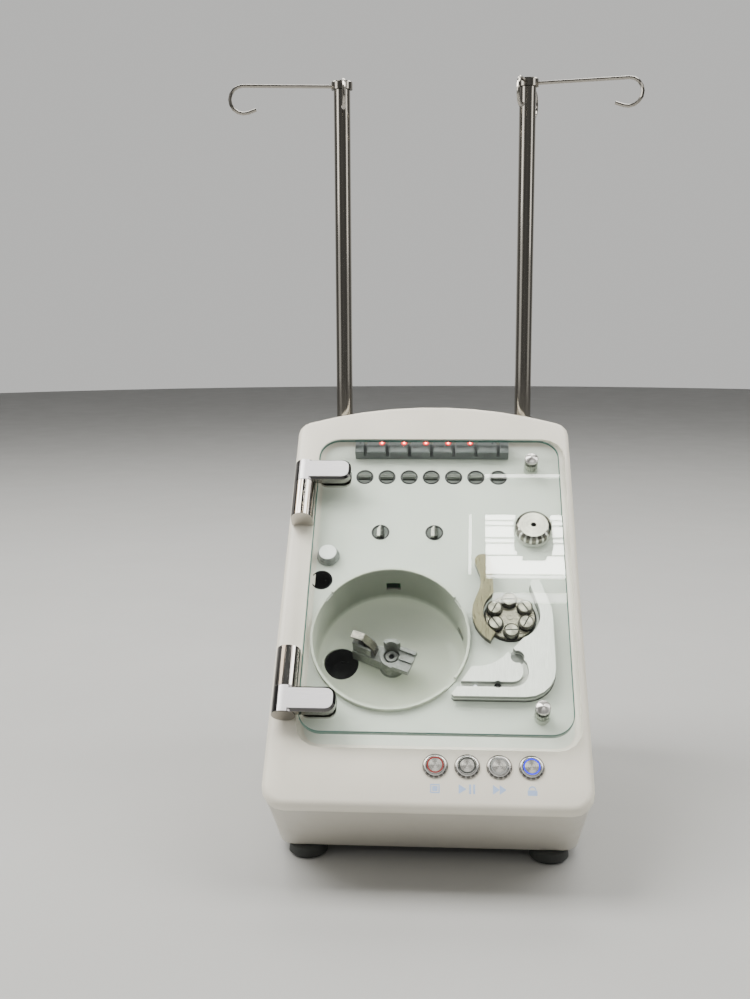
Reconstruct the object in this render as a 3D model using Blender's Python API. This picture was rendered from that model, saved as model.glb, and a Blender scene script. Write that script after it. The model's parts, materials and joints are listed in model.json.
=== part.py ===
"""Benchtop cell processor: a sloping wedge housing whose recessed deck carries a six-roller
peristaltic pump, a counterflow centrifuge chamber, nine pinch valves and a tube sensor block
under a hinged glass door, with push-buttons below and two bag poles with hooks behind.

Every length is in millimetres and is turned into metres when a mesh or a location is made.
Most pieces are drawn in the face frame: u to the right, v up the slope and n out of the deck,
whose top is n = 0. The rest are drawn in the floor frame, with z up from the bench.
"""

import math

import bmesh
import bpy
from mathutils import Vector

MM = 0.001
GAP = 0.3  # between pieces that rest on or slide along each other

# The sloping face: its foot lies FACE_RISE above the bench, where v = n = 0.
SLOPE = 45.0
FACE_RISE = 88.0
FACE_HALF_WIDTH = 140.0
FACE_FLARE = 1.5  # how much wider each side is at the foot
FACE_LOW = -17.5
FACE_APEX = 422.0
ARCH_RADIUS = 400.0
TOP_CORNER = 16.0
LOW_CORNER = 20.0
RIM_N = 8.0
RIM_ROUND = 7.0
RIM_PLATE = 4.0

# The body behind the face.
BODY_STEP = 2.0
BODY_INSET = 3.6
BODY_DROP = 1.5  # the front wall stands this much nearer the lip than the sides do
BODY_STRAIGHT_N = -75.0
BODY_DEPTH = 420.0
WALL = 3.0
BASE_Z = 11.5
BACK_Y = 345.0
SHEET = 3.0

# The recess and the deck in it.
RECESS = (-116.0, 134.0, 36.0, 376.0)
RECESS_CORNER = 22.0
RECESS_FLANGE = 3.0
DECK_THICK = 4.0

# Centrifuge chamber and its arm.
CHAMBER = (-36.1, 146.6)
BOWL_OUTER = 73.8
BOWL_INNER = 71.6
BOWL_RIM_N = 5.0
BOWL_FLOOR_N = -57.0
BOWL_FILLET = 18.0
RIM_NOTCHES = ((145.0, 11.0), (30.0, 13.0), (-39.4, 12.0))
WALL_WINDOWS = ((90.0, -26.5, 6.0), (23.0, -41.0, 3.6))
CUP = (-85.3, 148.3)
CUP_RADIUS = 16.4
PORT = (-103.8, 208.3)
PORT_RADIUS = 10.3
ARM_ANGLE = -21.0
ARM_FOOT_N = BOWL_FLOOR_N + 0.6
ARM_BEAM_N = -40.0
ARM_HUB = (11.0, -35.6)  # radius, and n of its top
ARM_WELL = (7.6, -41.0)  # round the clamping screw: radius, and n of its floor
CRADLE = (1.0, 21.5, -12.0, 12.0)  # x along the arm from the hub, y across it
CRADLE_N = (-38.5, -34.5)
LUG_TOP_N = -22.0
ARM_END = (-37.5, -31.5, -23.8)  # x from and to, and n of its top
CHEEK_TOP_N = -26.7
CHEEK_Y = (4.4, 6.6)
CLIP_PIVOT = (-24.5, -33.5)  # x and n of the pin between the cheeks
CLIP_PIN_RADIUS = 1.5
CLIP_HALF_WIDTH = 3.8

# Peristaltic pump.
ROTOR = (74.5, 168.4)
ROTOR_RADIUS = 23.3
ROLLER_COUNT = 6
ROLLER_PITCH_RADIUS = 16.2
ROLLER_RADIUS = 7.2
ROLLER_TOP_N = 8.9
ROLLER_PHASE = 92.5
ROLLER_PIN = (2.4, 6.3)  # radius, and n of its top inside the roller
RACE_RADIUS = 27.5
TRACK_TOP_N = 10.0
GROOVE_WIDTH = 5.2
GROOVE_FLOOR_N = 4.0
POCKET = (79.6, 124.2)
POCKET_RADIUS = 6.3
SHOE_PIVOT = (49.8, 224.0)
SHOE_LOW_N = 5.8
SHOE_TOP_N = 12.5
SHOE_INNER = 25.3
SHOE_OUTER = 35.3

# Valves and sensors.
VALVE_PITCH = 22.5
VALVE_COUNT = 7
VALVE_ROW_V = 331.0
VALVE_FIRST_U = -68.0
LOOP_VALVES = ((-49.5, 263.7), (3.3, 263.7))
VALVE_HOLE = 7.8
TURRET_RADIUS = 7.1
BLADE = (6.3, 3.1)  # half length and half width of a plunger's blade
ROW_BLADE_N = 2.5
LOOP_BLADE_N = 4.0
SENSOR_BLOCK = (-78.5, 77.5, 353.6, 369.8)
SENSOR_BLOCK_N = 12.0
NOTCH_WIDTH = 3.4
NOTCH_FLOOR_N = 5.0
PRESSURE_SENSOR = (99.1, 265.4)
LOCATING_STUD = (-99.0, 235.0)

# Glass door and its hinges on the left.
GLASS = (-113.7, 126.8, 45.0, 365.4)
GLASS_CORNER = 21.0
GLASS_N = (14.5, 20.5)
HINGE_U = -126.0
HINGE_N = 19.8
KNUCKLE_RADIUS = 10.7
PIN_RADIUS = 4.0
LEAF_END_U = -80.0
LEAF_TOP_N = 30.0
LEAF_HEIGHT_V = 24.0
UPPER_HINGE = {"fixed": (267.0, 308.1), "moving": (308.4, 332.6), "leaf": (309.4, 333.4)}
LOWER_HINGE = {"fixed": (84.4, 123.7), "moving": (59.5, 84.1), "leaf": (60.0, 84.0)}
STUD_U = 99.6
STUD_V = {"upper": 340.0, "lower": 70.0}
STUD_RADIUS = 6.7

# Push-buttons under the recess.
BUTTON_U = (6.9, 34.1, 61.3, 88.7)
BUTTON_V = 20.8
BUTTON_RADIUS = 7.9
BUTTON_TOP_N = 11.2

# Bag poles, in the floor frame.
POLE_X = 95.6
POLE_Y = 318.0
POLE_RADIUS = 8.6
POLE_LOW_Z = 275.0
COLLAR_Z = (715.9, 723.9)
COLLAR_RADIUS = 11.1
HOOK_REACH = {0: 117.4, 90: 54.0, -90: 54.0}  # by the angle from the side hook
HOOK_Z = 718.9
HOOK_BEND = 13.7
HOOK_TAIL = 9.0
WIRE_RADIUS = 1.8
HEAD_TURN = {"left": 7.5, "right": -14.0}

# Feet and the rear fittings, in the floor frame.
FOOT_RADIUS = 18.0
FEET = {"front_left": (-110.0, 66.0), "front_right": (110.0, 66.0),
        "rear_left": (-105.0, 305.0), "rear_right": (105.0, 305.0)}
INLET = (-70.0, 60.0)  # x and z of the mains inlet's centre on the back
SWITCH = (-25.0, 60.0)


# ---------------------------------------------------------------- outlines

def arc(centre, radius, start, end, steps):
    """Points along an arc, both ends included, angles in degrees."""
    turns = [math.radians(start + (end - start) * k / steps) for k in range(steps + 1)]
    return [(centre[0] + radius * math.cos(a), centre[1] + radius * math.sin(a)) for a in turns]


def circle(centre, radius, steps):
    return arc(centre, radius, 0, 360, steps)[:-1]


def rectangle(u0, u1, v0, v1):
    return [(u0, v0), (u1, v0), (u1, v1), (u0, v1)]


def rounded(u0, u1, v0, v1, radius, steps=4):
    """Rectangle with rounded corners, anticlockwise."""
    corners = (((u0 + radius, v0 + radius), 180), ((u1 - radius, v0 + radius), 270),
               ((u1 - radius, v1 - radius), 0), ((u0 + radius, v1 - radius), 90))
    return [p for centre, start in corners for p in arc(centre, radius, start, start + 90, steps)]


def inset_box(box, by):
    u0, u1, v0, v1 = box
    return u0 + by, u1 - by, v0 + by, v1 - by


def ribbon(path, width):
    """Outline of a band of this width along a path."""
    left, right = [], []
    for k, (x, y) in enumerate(path):
        x0, y0 = path[max(k - 1, 0)]
        x1, y1 = path[min(k + 1, len(path) - 1)]
        length = math.hypot(x1 - x0, y1 - y0)
        side = (-(y1 - y0) / length * width / 2, (x1 - x0) / length * width / 2)
        left.append((x + side[0], y + side[1]))
        right.append((x - side[0], y - side[1]))
    return left + right[::-1]


def face_outline(inset, drop=0.0):
    """The face's outline moved in by inset: straight sides, round corners, arched top."""
    half = FACE_HALF_WIDTH - inset
    foot = half + FACE_FLARE
    low_corner = max(LOW_CORNER - inset, 4.0)
    top_corner = max(TOP_CORNER - inset, 4.0)
    arch = ARCH_RADIUS - inset
    arch_centre = (0.0, FACE_APEX - ARCH_RADIUS)
    fillet_u = half - top_corner
    fillet_v = arch_centre[1] + math.sqrt((arch - top_corner) ** 2 - fillet_u ** 2)
    turn = math.degrees(math.atan2(fillet_v - arch_centre[1], fillet_u))
    low = FACE_LOW + inset - drop + low_corner
    return (arc((-foot + low_corner, low), low_corner, 180, 270, 4)
            + arc((foot - low_corner, low), low_corner, 270, 360, 4)
            + arc((fillet_u, fillet_v), top_corner, 0, turn, 3)
            + arc(arch_centre, arch, turn, 180 - turn, 9)[1:-1]
            + arc((-fillet_u, fillet_v), top_corner, 180 - turn, 180, 3))


# ---------------------------------------------------------------- shapes: (points, faces)

def loft(rings):
    """Closed skin over rings of equal length, with flat ends."""
    count = len(rings[0])
    points = [p for ring in rings for p in ring]
    faces = [tuple(range(count))[::-1], tuple(range(len(points) - count, len(points)))]
    for low in range(0, len(points) - count, count):
        for k in range(count):
            after = (k + 1) % count
            faces.append((low + k, low + after, low + count + after, low + count + k))
    return points, faces


def prism(outline, low, high):
    return loft([[(x, y, z) for x, y in outline] for z in (low, high)])


def box(x0, x1, y0, y1, z0, z1):
    return prism(rectangle(x0, x1, y0, y1), z0, z1)


def stepped(levels):
    """Skin through (outline, height) levels."""
    return loft([[(x, y, z) for x, y in outline] for outline, z in levels])


def turned(profile, steps, centre=(0.0, 0.0)):
    """A closed (radius, height) profile turned about the vertical through centre."""
    points, faces, rows = [], [], []
    for radius, height in profile:
        if radius == 0:
            rows.append([len(points)] * steps)
            points.append((centre[0], centre[1], height))
            continue
        rows.append(list(range(len(points), len(points) + steps)))
        points += [(x, y, height) for x, y in circle(centre, radius, steps)]
    for row, following in zip(rows, rows[1:] + rows[:1]):
        for k in range(steps):
            after = (k + 1) % steps
            face = (row[k], row[after], following[after], following[k])
            corners = tuple(dict.fromkeys(face))
            if len(corners) > 2:
                faces.append(corners)
    return points, faces


def rod(radius, low, high, steps, centre=(0.0, 0.0)):
    return prism(circle(centre, radius, steps), low, high)


def along_v(shape, u, n):
    """Lays a shape made about the vertical along v, at u and n."""
    points, faces = shape
    return [(x + u, z, y + n) for x, y, z in points], faces


def turned_about(shape, centre, degrees):
    """Turns a shape drawn round the origin in plan and moves it to centre."""
    points, faces = shape
    c, s = math.cos(math.radians(degrees)), math.sin(math.radians(degrees))
    return [(centre[0] + x * c - y * s, centre[1] + x * s + y * c, z) for x, y, z in points], faces


def merged(*shapes):
    """Several shapes as one set of points and faces, for a cutter with many bodies."""
    points, faces = [], []
    for more_points, more_faces in shapes:
        start = len(points)
        points += more_points
        faces += [tuple(start + k for k in face) for face in more_faces]
    return points, faces


# ---------------------------------------------------------------- objects

def clear_scene():
    for obj in list(bpy.data.objects):
        bpy.data.objects.remove(obj)


def empty(name, location=(0, 0, 0), parent=None, rotation=(0, 0, 0)):
    obj = bpy.data.objects.new(name, None)
    bpy.context.scene.collection.objects.link(obj)
    obj.parent = parent
    obj.location = [c * MM for c in location]
    obj.rotation_euler = [math.radians(a) for a in rotation]
    return obj


def material(name, colour, roughness, metallic, alpha=1.0):
    made = bpy.data.materials.new(name)
    made.use_nodes = True
    shader = made.node_tree.nodes["Principled BSDF"]
    shader.inputs["Base Color"].default_value = (*colour, 1.0)
    shader.inputs["Roughness"].default_value = roughness
    shader.inputs["Metallic"].default_value = metallic
    shader.inputs["Alpha"].default_value = alpha
    return made


def mesh_object(name, shape, parent):
    points, faces = shape
    mesh = bpy.data.meshes.new(name)
    mesh.from_pydata([tuple(c * MM for c in point) for point in points], [], faces)
    bm = bmesh.new()
    bm.from_mesh(mesh)
    bmesh.ops.recalc_face_normals(bm, faces=bm.faces)
    bm.to_mesh(mesh)
    bm.free()
    obj = bpy.data.objects.new(name, mesh)
    bpy.context.scene.collection.objects.link(obj)
    obj.parent = parent
    if parent and parent.name.endswith("_pivot"):
        obj.location = -parent.location
    return obj


def piece(name, shape, finish, parent):
    """A named solid with its own copy of a finish, shaded smooth across its round faces."""
    obj = mesh_object(name, shape, parent)
    colour, roughness, metallic = FINISHES[finish][:3]
    alpha = FINISHES[finish][3] if len(FINISHES[finish]) > 3 else 1.0
    obj.data.materials.append(material(name, colour, roughness, metallic, alpha))
    obj.data.shade_smooth()
    obj.data.set_sharp_from_angle(angle=math.radians(30))
    return obj


def hide_helper(obj):
    obj.hide_render = True
    obj.display_type = "WIRE"


def combine(obj, operation, shape=None, tool=None):
    """Adds a Boolean with a hidden helper of this shape, drawn in the object's own frame."""
    if tool is None:
        tool = mesh_object(f"{obj.name}_{operation.lower()}_{len(obj.modifiers)}", shape, obj.parent)
        hide_helper(tool)
    modifier = obj.modifiers.new(operation, "BOOLEAN")
    modifier.operation = operation
    modifier.solver = "EXACT"
    modifier.object = tool
    return obj


def cut(obj, *shapes):
    for shape in shapes:
        combine(obj, "DIFFERENCE", shape)
    return obj


def join(obj, *shapes):
    for shape in shapes:
        combine(obj, "UNION", shape)
    return obj


FINISHES = {  # colour, roughness, metallic, and alpha where it is clear
    "white_paint": ((0.76, 0.75, 0.71), 0.4, 0.0),
    "deck": ((0.60, 0.63, 0.57), 0.45, 0.0),
    "bowl": ((0.55, 0.58, 0.51), 0.5, 0.0),
    "stainless": ((0.62, 0.60, 0.57), 0.2, 1.0),
    "aluminium": ((0.78, 0.78, 0.76), 0.35, 1.0),
    "cast": ((0.45, 0.46, 0.46), 0.5, 0.9),
    "brass_tint": ((0.72, 0.68, 0.55), 0.35, 1.0),
    "dark_grey": ((0.12, 0.14, 0.14), 0.45, 0.0),
    "black": ((0.015, 0.015, 0.017), 0.4, 0.0),
    "valve_metal": ((0.30, 0.31, 0.30), 0.4, 0.8),
    "glass": ((0.80, 0.92, 0.88), 0.02, 0.0, 0.3),
    "silver_plastic": ((0.60, 0.61, 0.60), 0.35, 0.2),
    "green_board": ((0.05, 0.22, 0.10), 0.5, 0.0),
    "sheet_steel": ((0.55, 0.55, 0.54), 0.4, 1.0),
}


# ---------------------------------------------------------------- housing

def body_levels(extra):
    """(outline, n) levels of the body's walls, from deep behind the face up to its back edge."""
    steps = ((BODY_INSET, -BODY_DEPTH - extra), (BODY_INSET, BODY_STRAIGHT_N), (BODY_STEP, -2.6))
    return [(face_outline(inset + extra, BODY_DROP), n) for inset, n in steps]


def make_housing(floor, face):
    rounding = [math.radians(90 * k / 4) for k in range(5)]
    lip = [(face_outline(0.0), -2.2)]
    lip += [(face_outline(RIM_ROUND * (1 - math.cos(a))), RIM_N - RIM_ROUND * (1 - math.sin(a)))
            for a in rounding]
    housing = piece("face_housing", stepped(body_levels(0) + lip), "white_paint", face)
    wedge = mesh_object("wedge_limits", box(-200, 200, -200, BACK_Y, BASE_Z, 600), floor)
    hide_helper(wedge)
    combine(housing, "INTERSECT", tool=wedge)

    cavity_levels = body_levels(WALL)
    cavity_levels.append((cavity_levels[-1][0], RIM_N - RIM_PLATE))
    cavity = mesh_object("housing_cavity", stepped(cavity_levels), face)
    hide_helper(cavity)
    boss = rounded(*inset_box(RECESS, -RECESS_FLANGE), RECESS_CORNER + RECESS_FLANGE)
    combine(cavity, "DIFFERENCE", prism(boss, -DECK_THICK - 1.0, RIM_N))
    combine(housing, "DIFFERENCE", tool=cavity)
    cut(housing, prism(rounded(*RECESS, RECESS_CORNER), -20, RIM_N + 5))
    cut(housing, merged(*[rod(BUTTON_RADIUS + GAP, 0, RIM_N + 5, 24, (u, BUTTON_V)) for u in BUTTON_U]))

    holes = mesh_object("pole_holes", merged(*[rod(POLE_RADIUS + GAP, POLE_LOW_Z, 500, 24, (x, POLE_Y))
                                               for x in (-POLE_X, POLE_X)]), floor)
    hide_helper(holes)
    combine(housing, "DIFFERENCE", tool=holes)


def make_sheets(floor, face):
    """The flat base plate and rear cover, each cut to the inside of the body's walls."""
    inside = mesh_object("body_inside", stepped(body_levels(WALL + GAP)), face)
    hide_helper(inside)
    base = piece("base_plate", box(-200, 200, -50, BACK_Y - SHEET - GAP, BASE_Z, BASE_Z + SHEET),
                 "sheet_steel", floor)
    combine(base, "INTERSECT", tool=inside)
    cover = piece("rear_cover", box(-200, 200, BACK_Y - SHEET, BACK_Y, BASE_Z, 500), "white_paint", floor)
    combine(cover, "INTERSECT", tool=inside)
    slots = [box(x, x + 70, BACK_Y - 10, BACK_Y + 10, z, z + 5)
             for x in (-85, 15) for z in range(190, 262, 12)]
    cut(cover, merged(*slots))
    for (x, z), half_x, half_z in ((INLET, 13.8, 10.3), (SWITCH, 10.8, 7.3)):
        cut(cover, box(x - half_x, x + half_x, BACK_Y - 10, BACK_Y + 10, z - half_z, z + half_z))


def make_feet(floor):
    profile = [(0, 0), (FOOT_RADIUS - 2.5, 0), (FOOT_RADIUS, 2.5), (FOOT_RADIUS - 1.0, BASE_Z - 2.0),
               (FOOT_RADIUS - 3.0, BASE_Z - GAP), (0, BASE_Z - GAP)]
    for name, centre in FEET.items():
        piece(f"foot_{name}", turned(profile, 24, centre), "black", floor)


def make_rear_fittings(floor):
    x, z = INLET
    flange = box(x - 24, x + 24, BACK_Y + GAP, BACK_Y + 3.3, z - 14, z + 14)
    inlet = piece("power_inlet", flange, "black", floor)
    join(inlet, box(x - 13.5, x + 13.5, BACK_Y - 22, BACK_Y + 2, z - 10, z + 10))
    cut(inlet, box(x - 11.5, x + 11.5, BACK_Y - 18, BACK_Y + 6, z - 8, z + 8))
    join(inlet, *[box(x + dx - 1, x + dx + 1, BACK_Y - 20, BACK_Y - 3, z + dz - 2, z + dz + 2)
                  for dx, dz in ((-7, -1), (0, 2), (7, -1))])

    x, z = SWITCH
    pivot = empty("switch_pivot", (x, BACK_Y + 1, z), floor)
    section = [(-3, -6.2), (0.9, -6.2), (1.6, 0), (4.2, 6.2), (-3, 6.2)]
    points, faces = prism(section, -10.2, 10.2)
    piece("power_switch", ([(x + across, BACK_Y + out, z + up) for out, up, across in points], faces),
          "black", pivot)

    piece("power_supply", box(20, 115, 210, 320, BASE_Z + SHEET + GAP, BASE_Z + 53), "sheet_steel", floor)
    piece("control_board", box(-110, 10, 322, 324, 90, 240), "green_board", floor)


# ---------------------------------------------------------------- deck, chamber and centrifuge

def make_deck(face):
    deck = piece("deck_plate", prism(rounded(*inset_box(RECESS, GAP), RECESS_CORNER - GAP), -DECK_THICK, 0),
                 "deck", face)
    holes = [rod(BOWL_OUTER + GAP, -20, 20, 48, CHAMBER), rod(PORT_RADIUS + GAP, -20, 20, 24, PORT),
             rod(ROTOR_RADIUS + 0.9, -20, 20, 32, ROTOR), rod(4.3, -20, 20, 16, SHOE_PIVOT)]
    holes += [rod(VALVE_HOLE, -20, 20, 20, place) for place in valve_places()]
    cut(deck, merged(*holes))


def make_chamber(face):
    floor_n = BOWL_FLOOR_N
    inner = arc((BOWL_INNER - BOWL_FILLET, floor_n + BOWL_FILLET), BOWL_FILLET, 0, -90, 5)
    outer = arc((BOWL_INNER - BOWL_FILLET, floor_n + BOWL_FILLET), BOWL_FILLET + 2.2, -90, 0, 4)
    profile = [(BOWL_OUTER, BOWL_RIM_N), (BOWL_INNER, BOWL_RIM_N), *inner, (5.0, floor_n),
               (5.0, floor_n - 3.0), (BOWL_INNER - BOWL_FILLET - 4, floor_n - 3.0), *outer[1:]]
    bowl = piece("chamber_bowl", turned(profile, 48, CHAMBER), "bowl", face)
    notches = [turned_about(box(65, 80, -width / 2, width / 2, 1.2, 9), CHAMBER, angle)
               for angle, width in RIM_NOTCHES]
    windows = [turned_about(box(65, 80, -7, 7, n - half, n + half), CHAMBER, angle)
               for angle, n, half in WALL_WINDOWS]
    cut(bowl, merged(*notches, *windows), rod(CUP_RADIUS + GAP, floor_n - 9, floor_n + 6, 24, CUP))

    cup = [(CUP_RADIUS, floor_n), (CUP_RADIUS - 1.2, floor_n), (CUP_RADIUS - 2.6, floor_n - 22),
           (0, floor_n - 22), (0, floor_n - 24), (CUP_RADIUS - 1.2, floor_n - 24)]
    piece("chamber_cup", turned(cup, 24, CUP), "black", face)
    port = [(PORT_RADIUS, 0.6), (PORT_RADIUS - 1.1, 0.6), (PORT_RADIUS - 1.1, -24), (0, -24), (0, -26),
            (PORT_RADIUS, -26)]
    piece("tube_port", turned(port, 24, PORT), "black", face)
    motor = [(4.3, -88), (4.3, floor_n - 3.6), (30, floor_n - 3.6), (30, -140), (0, -140), (0, -88)]
    piece("centrifuge_motor", turned(motor, 24, CHAMBER), "sheet_steel", face)


def along_arm(shape):
    """Places a shape drawn with x along the arm, y across it and n up on the chamber's axis."""
    return turned_about(shape, CHAMBER, ARM_ANGLE)


def across_arm(profile, low, high):
    """An (x, n) profile extruded across the arm, in place."""
    points, faces = prism(profile, low, high)
    return along_arm(([(x, y, n) for x, n, y in points], faces))


def make_arm(face):
    """The cast arm that the separation chamber rests in."""
    spin = empty("arm_pivot", (*CHAMBER, 0), face)
    radius, top = ARM_HUB
    hub = [(0, -80), (4.0, -80), (4.0, ARM_FOOT_N), (radius, ARM_FOOT_N), (radius, top), (0, top)]
    arm = piece("rotor_arm", along_arm(turned(hub, 24)), "cast", spin)
    beam = [(-38.0, -6.9), (-6.0, -8.2), (-6.0, 8.2), (-38.0, 6.9)]
    lug = arc((0, 0), radius + 0.4, 62, 152, 6) + arc((0, 0), ARM_WELL[0] + 0.3, 152, 62, 6)
    start, end, end_top = ARM_END
    join(arm, along_arm(prism(beam, ARM_FOOT_N + 0.5, ARM_BEAM_N)), along_arm(prism(lug, -44, LUG_TOP_N)),
         along_arm(box(start, end, -6.0, 6.0, ARM_BEAM_N - 2, end_top)))

    cheek = [(-33, -42), (-18.8, -42), (-18.8, -29.0), (-21.5, CHEEK_TOP_N), (-33, CHEEK_TOP_N)]
    join(arm, across_arm(cheek, -CHEEK_Y[1], -CHEEK_Y[0]), across_arm(cheek, *CHEEK_Y))

    low, high = CRADLE_N
    x0, x1, y0, y1 = CRADLE
    ridges = ((3, 7.6, y1 - 0.4, 2.4), (5, y0 + 0.4, -8, 2.0), (7.9, -1.6, 1.6, 1.6))
    join(arm, along_arm(box(x0, x1, y0, y1, low, high)),
         *[along_arm(box(x, x1 - 0.4, near, far, high - 1.5, high + rise)) for x, near, far, rise in ridges])

    radius, floor_n = ARM_WELL
    cut(arm, along_arm(rod(radius, floor_n, -20, 24)))
    screw = [(0, floor_n - 1), (5.6, floor_n - 1), (5.6, -36.0), (2.8, -36.0), (2.8, -40.0), (0, -40.0)]
    join(arm, along_arm(turned(screw, 20)),
         across_arm(circle(CLIP_PIVOT, CLIP_PIN_RADIUS, 12), -CHEEK_Y[1] - 0.8, CHEEK_Y[1] + 0.8))
    make_clip(spin)


def make_clip(spin):
    """The sprung latch: a bent strip with a web that turns on the pin between the cheeks."""
    x, n = CLIP_PIVOT
    (place,), _ = along_arm(([(x, 0.0, n)], []))
    pivot = empty("clip_pivot", [a - b for a, b in zip(place, (*CHAMBER, 0))], spin)

    def in_face_frame(obj):
        obj.location = [-c * MM for c in place]

    strip = [(-40.0, -19.6), (-28.4, -18.6), (-17.8, -29.6), (-16.6, -39.6), (-15.0, -39.6), (-16.2, -29.0),
             (-27.8, -16.9), (-40.0, -18.0)]
    web = [(-28.0, -36.8), (-21.0, -36.8), (-20.0, -26.4), (-26.5, -19.6)]
    bore = circle(CLIP_PIVOT, CLIP_PIN_RADIUS + GAP, 12)
    clip = piece("arm_clip", across_arm(strip, -CLIP_HALF_WIDTH, CLIP_HALF_WIDTH), "stainless", pivot)
    in_face_frame(clip)
    for operation, profile, half in (("UNION", web, 3.0), ("DIFFERENCE", bore, 5.0)):
        tool = mesh_object(f"clip_{operation.lower()}", across_arm(profile, -half, half), pivot)
        in_face_frame(tool)
        hide_helper(tool)
        combine(clip, operation, tool=tool)


# ---------------------------------------------------------------- pump

def roller_places():
    angles = [math.radians(ROLLER_PHASE - 360 / ROLLER_COUNT * k) for k in range(ROLLER_COUNT)]
    return [(ROTOR[0] + ROLLER_PITCH_RADIUS * math.cos(a), ROTOR[1] + ROLLER_PITCH_RADIUS * math.sin(a))
            for a in angles]


def make_pump(face):
    body = [(5.3, -50), (5.3, -6), (26, -6), (26, -85), (0, -85), (0, -50)]
    piece("pump_motor", turned(body, 24, ROTOR), "sheet_steel", face)

    spin = empty("rotor_pivot", (*ROTOR, 0), face)
    disc = [(0, 0), (ROTOR_RADIUS - 0.6, 0), (ROTOR_RADIUS, -0.6), (ROTOR_RADIUS, -4), (5, -5), (5, -40),
            (0, -40)]
    rotor = piece("pump_rotor", turned(disc, 32, ROTOR), "stainless", spin)
    pin_radius, pin_top = ROLLER_PIN
    join(rotor, merged(*[rod(pin_radius, -2, pin_top, 12, place) for place in roller_places()]))

    for number, place in enumerate(roller_places(), 1):
        roll = empty(f"roller_{number}_pivot", (place[0] - ROTOR[0], place[1] - ROTOR[1], 0), spin)
        body_radius = ROLLER_RADIUS - 0.5
        profile = [(0, pin_top + GAP), (pin_radius + GAP, pin_top + GAP), (pin_radius + GAP, GAP),
                   (body_radius, GAP), (body_radius, 7.1), (ROLLER_RADIUS, 7.3), (ROLLER_RADIUS, 8.3),
                   (ROLLER_RADIUS - 0.7, ROLLER_TOP_N), (0, ROLLER_TOP_N)]
        roller = piece(f"pump_roller_{number}", turned(profile, 20), "stainless", roll)
        roller.location = (0, 0, 0)
        tangent = ROLLER_PHASE + 90 - 360 / ROLLER_COUNT * (number - 1)
        slot = turned_about(box(-5.6, 5.6, -0.6, 0.6, 7.9, 10), (0, 0), tangent)
        tool = mesh_object(f"roller_slot_{number}", slot, roll)
        tool.location = (0, 0, 0)
        hide_helper(tool)
        combine(roller, "DIFFERENCE", tool=tool)


def make_track(face):
    """The machined plate right of the rotor: outer arm, circular race, tube groove and pocket."""
    tip = arc((98.6, 200.8), 5.0, 190, 15, 5)
    corner = arc((85.8, 112.3), 27.5, 0, -90, 5)
    race = arc(ROTOR, RACE_RADIUS, -66, 20, 8)
    outline = (tip + [(112.8, 174.5), (113.3, 160.0)] + corner + [(22.5, 84.8), (20.6, 86.6), (38.4, 113.9)]
               + arc((42.0, 150.0), 36.0, -78, -36, 4) + [(77.6, 134.2)] + race)
    track = piece("pump_track", prism(outline, GAP, TRACK_TOP_N), "aluminium", face)
    bend = arc((74.6, 109.0), 12.3, -90, 12, 5)
    groove = [(10.0, 96.7), (60.0, 96.7)] + bend + [(85.6, 117.0), POCKET]
    neck = [POCKET, (73.4, 131.4), (67.4, 137.4)]
    port = rod(3.6, GROOVE_FLOOR_N - 2, 20, 14, (61.6, 96.7))
    cut(track, prism(ribbon(groove, GROOVE_WIDTH), GROOVE_FLOOR_N, 20), prism(ribbon(neck, 6.0), 2.4, 21),
        rod(POCKET_RADIUS, 2.0, 22, 20, POCKET), port)


def make_shoe(face):
    """The swinging pressure arm left of the rotor, on a spindle under its round upper end."""
    outer = arc(ROTOR, SHOE_OUTER, 238, 157, 7)
    head = arc(SHOE_PIVOT, 7.9, 190, -5, 8)
    inner = arc(ROTOR, SHOE_INNER, 150, 236, 7)
    neck_left, neck_right = [(45.6, 191.5), (47.5, 199.5), (47.0, 208.5)], [(58.6, 205.0), (59.4, 189.5)]
    outline = outer + neck_left + head + neck_right + inner
    pivot = empty("shoe_pivot", (*SHOE_PIVOT, 0), face)
    shoe = piece("pump_shoe", prism(outline, SHOE_LOW_N, SHOE_TOP_N), "brass_tint", pivot)
    join(shoe, rod(4.0, -12, SHOE_LOW_N + 2, 16, SHOE_PIVOT))


# ---------------------------------------------------------------- valves and sensors

def valve_places():
    return [(VALVE_FIRST_U + VALVE_PITCH * k, VALVE_ROW_V) for k in range(VALVE_COUNT)] + list(LOOP_VALVES)


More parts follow.
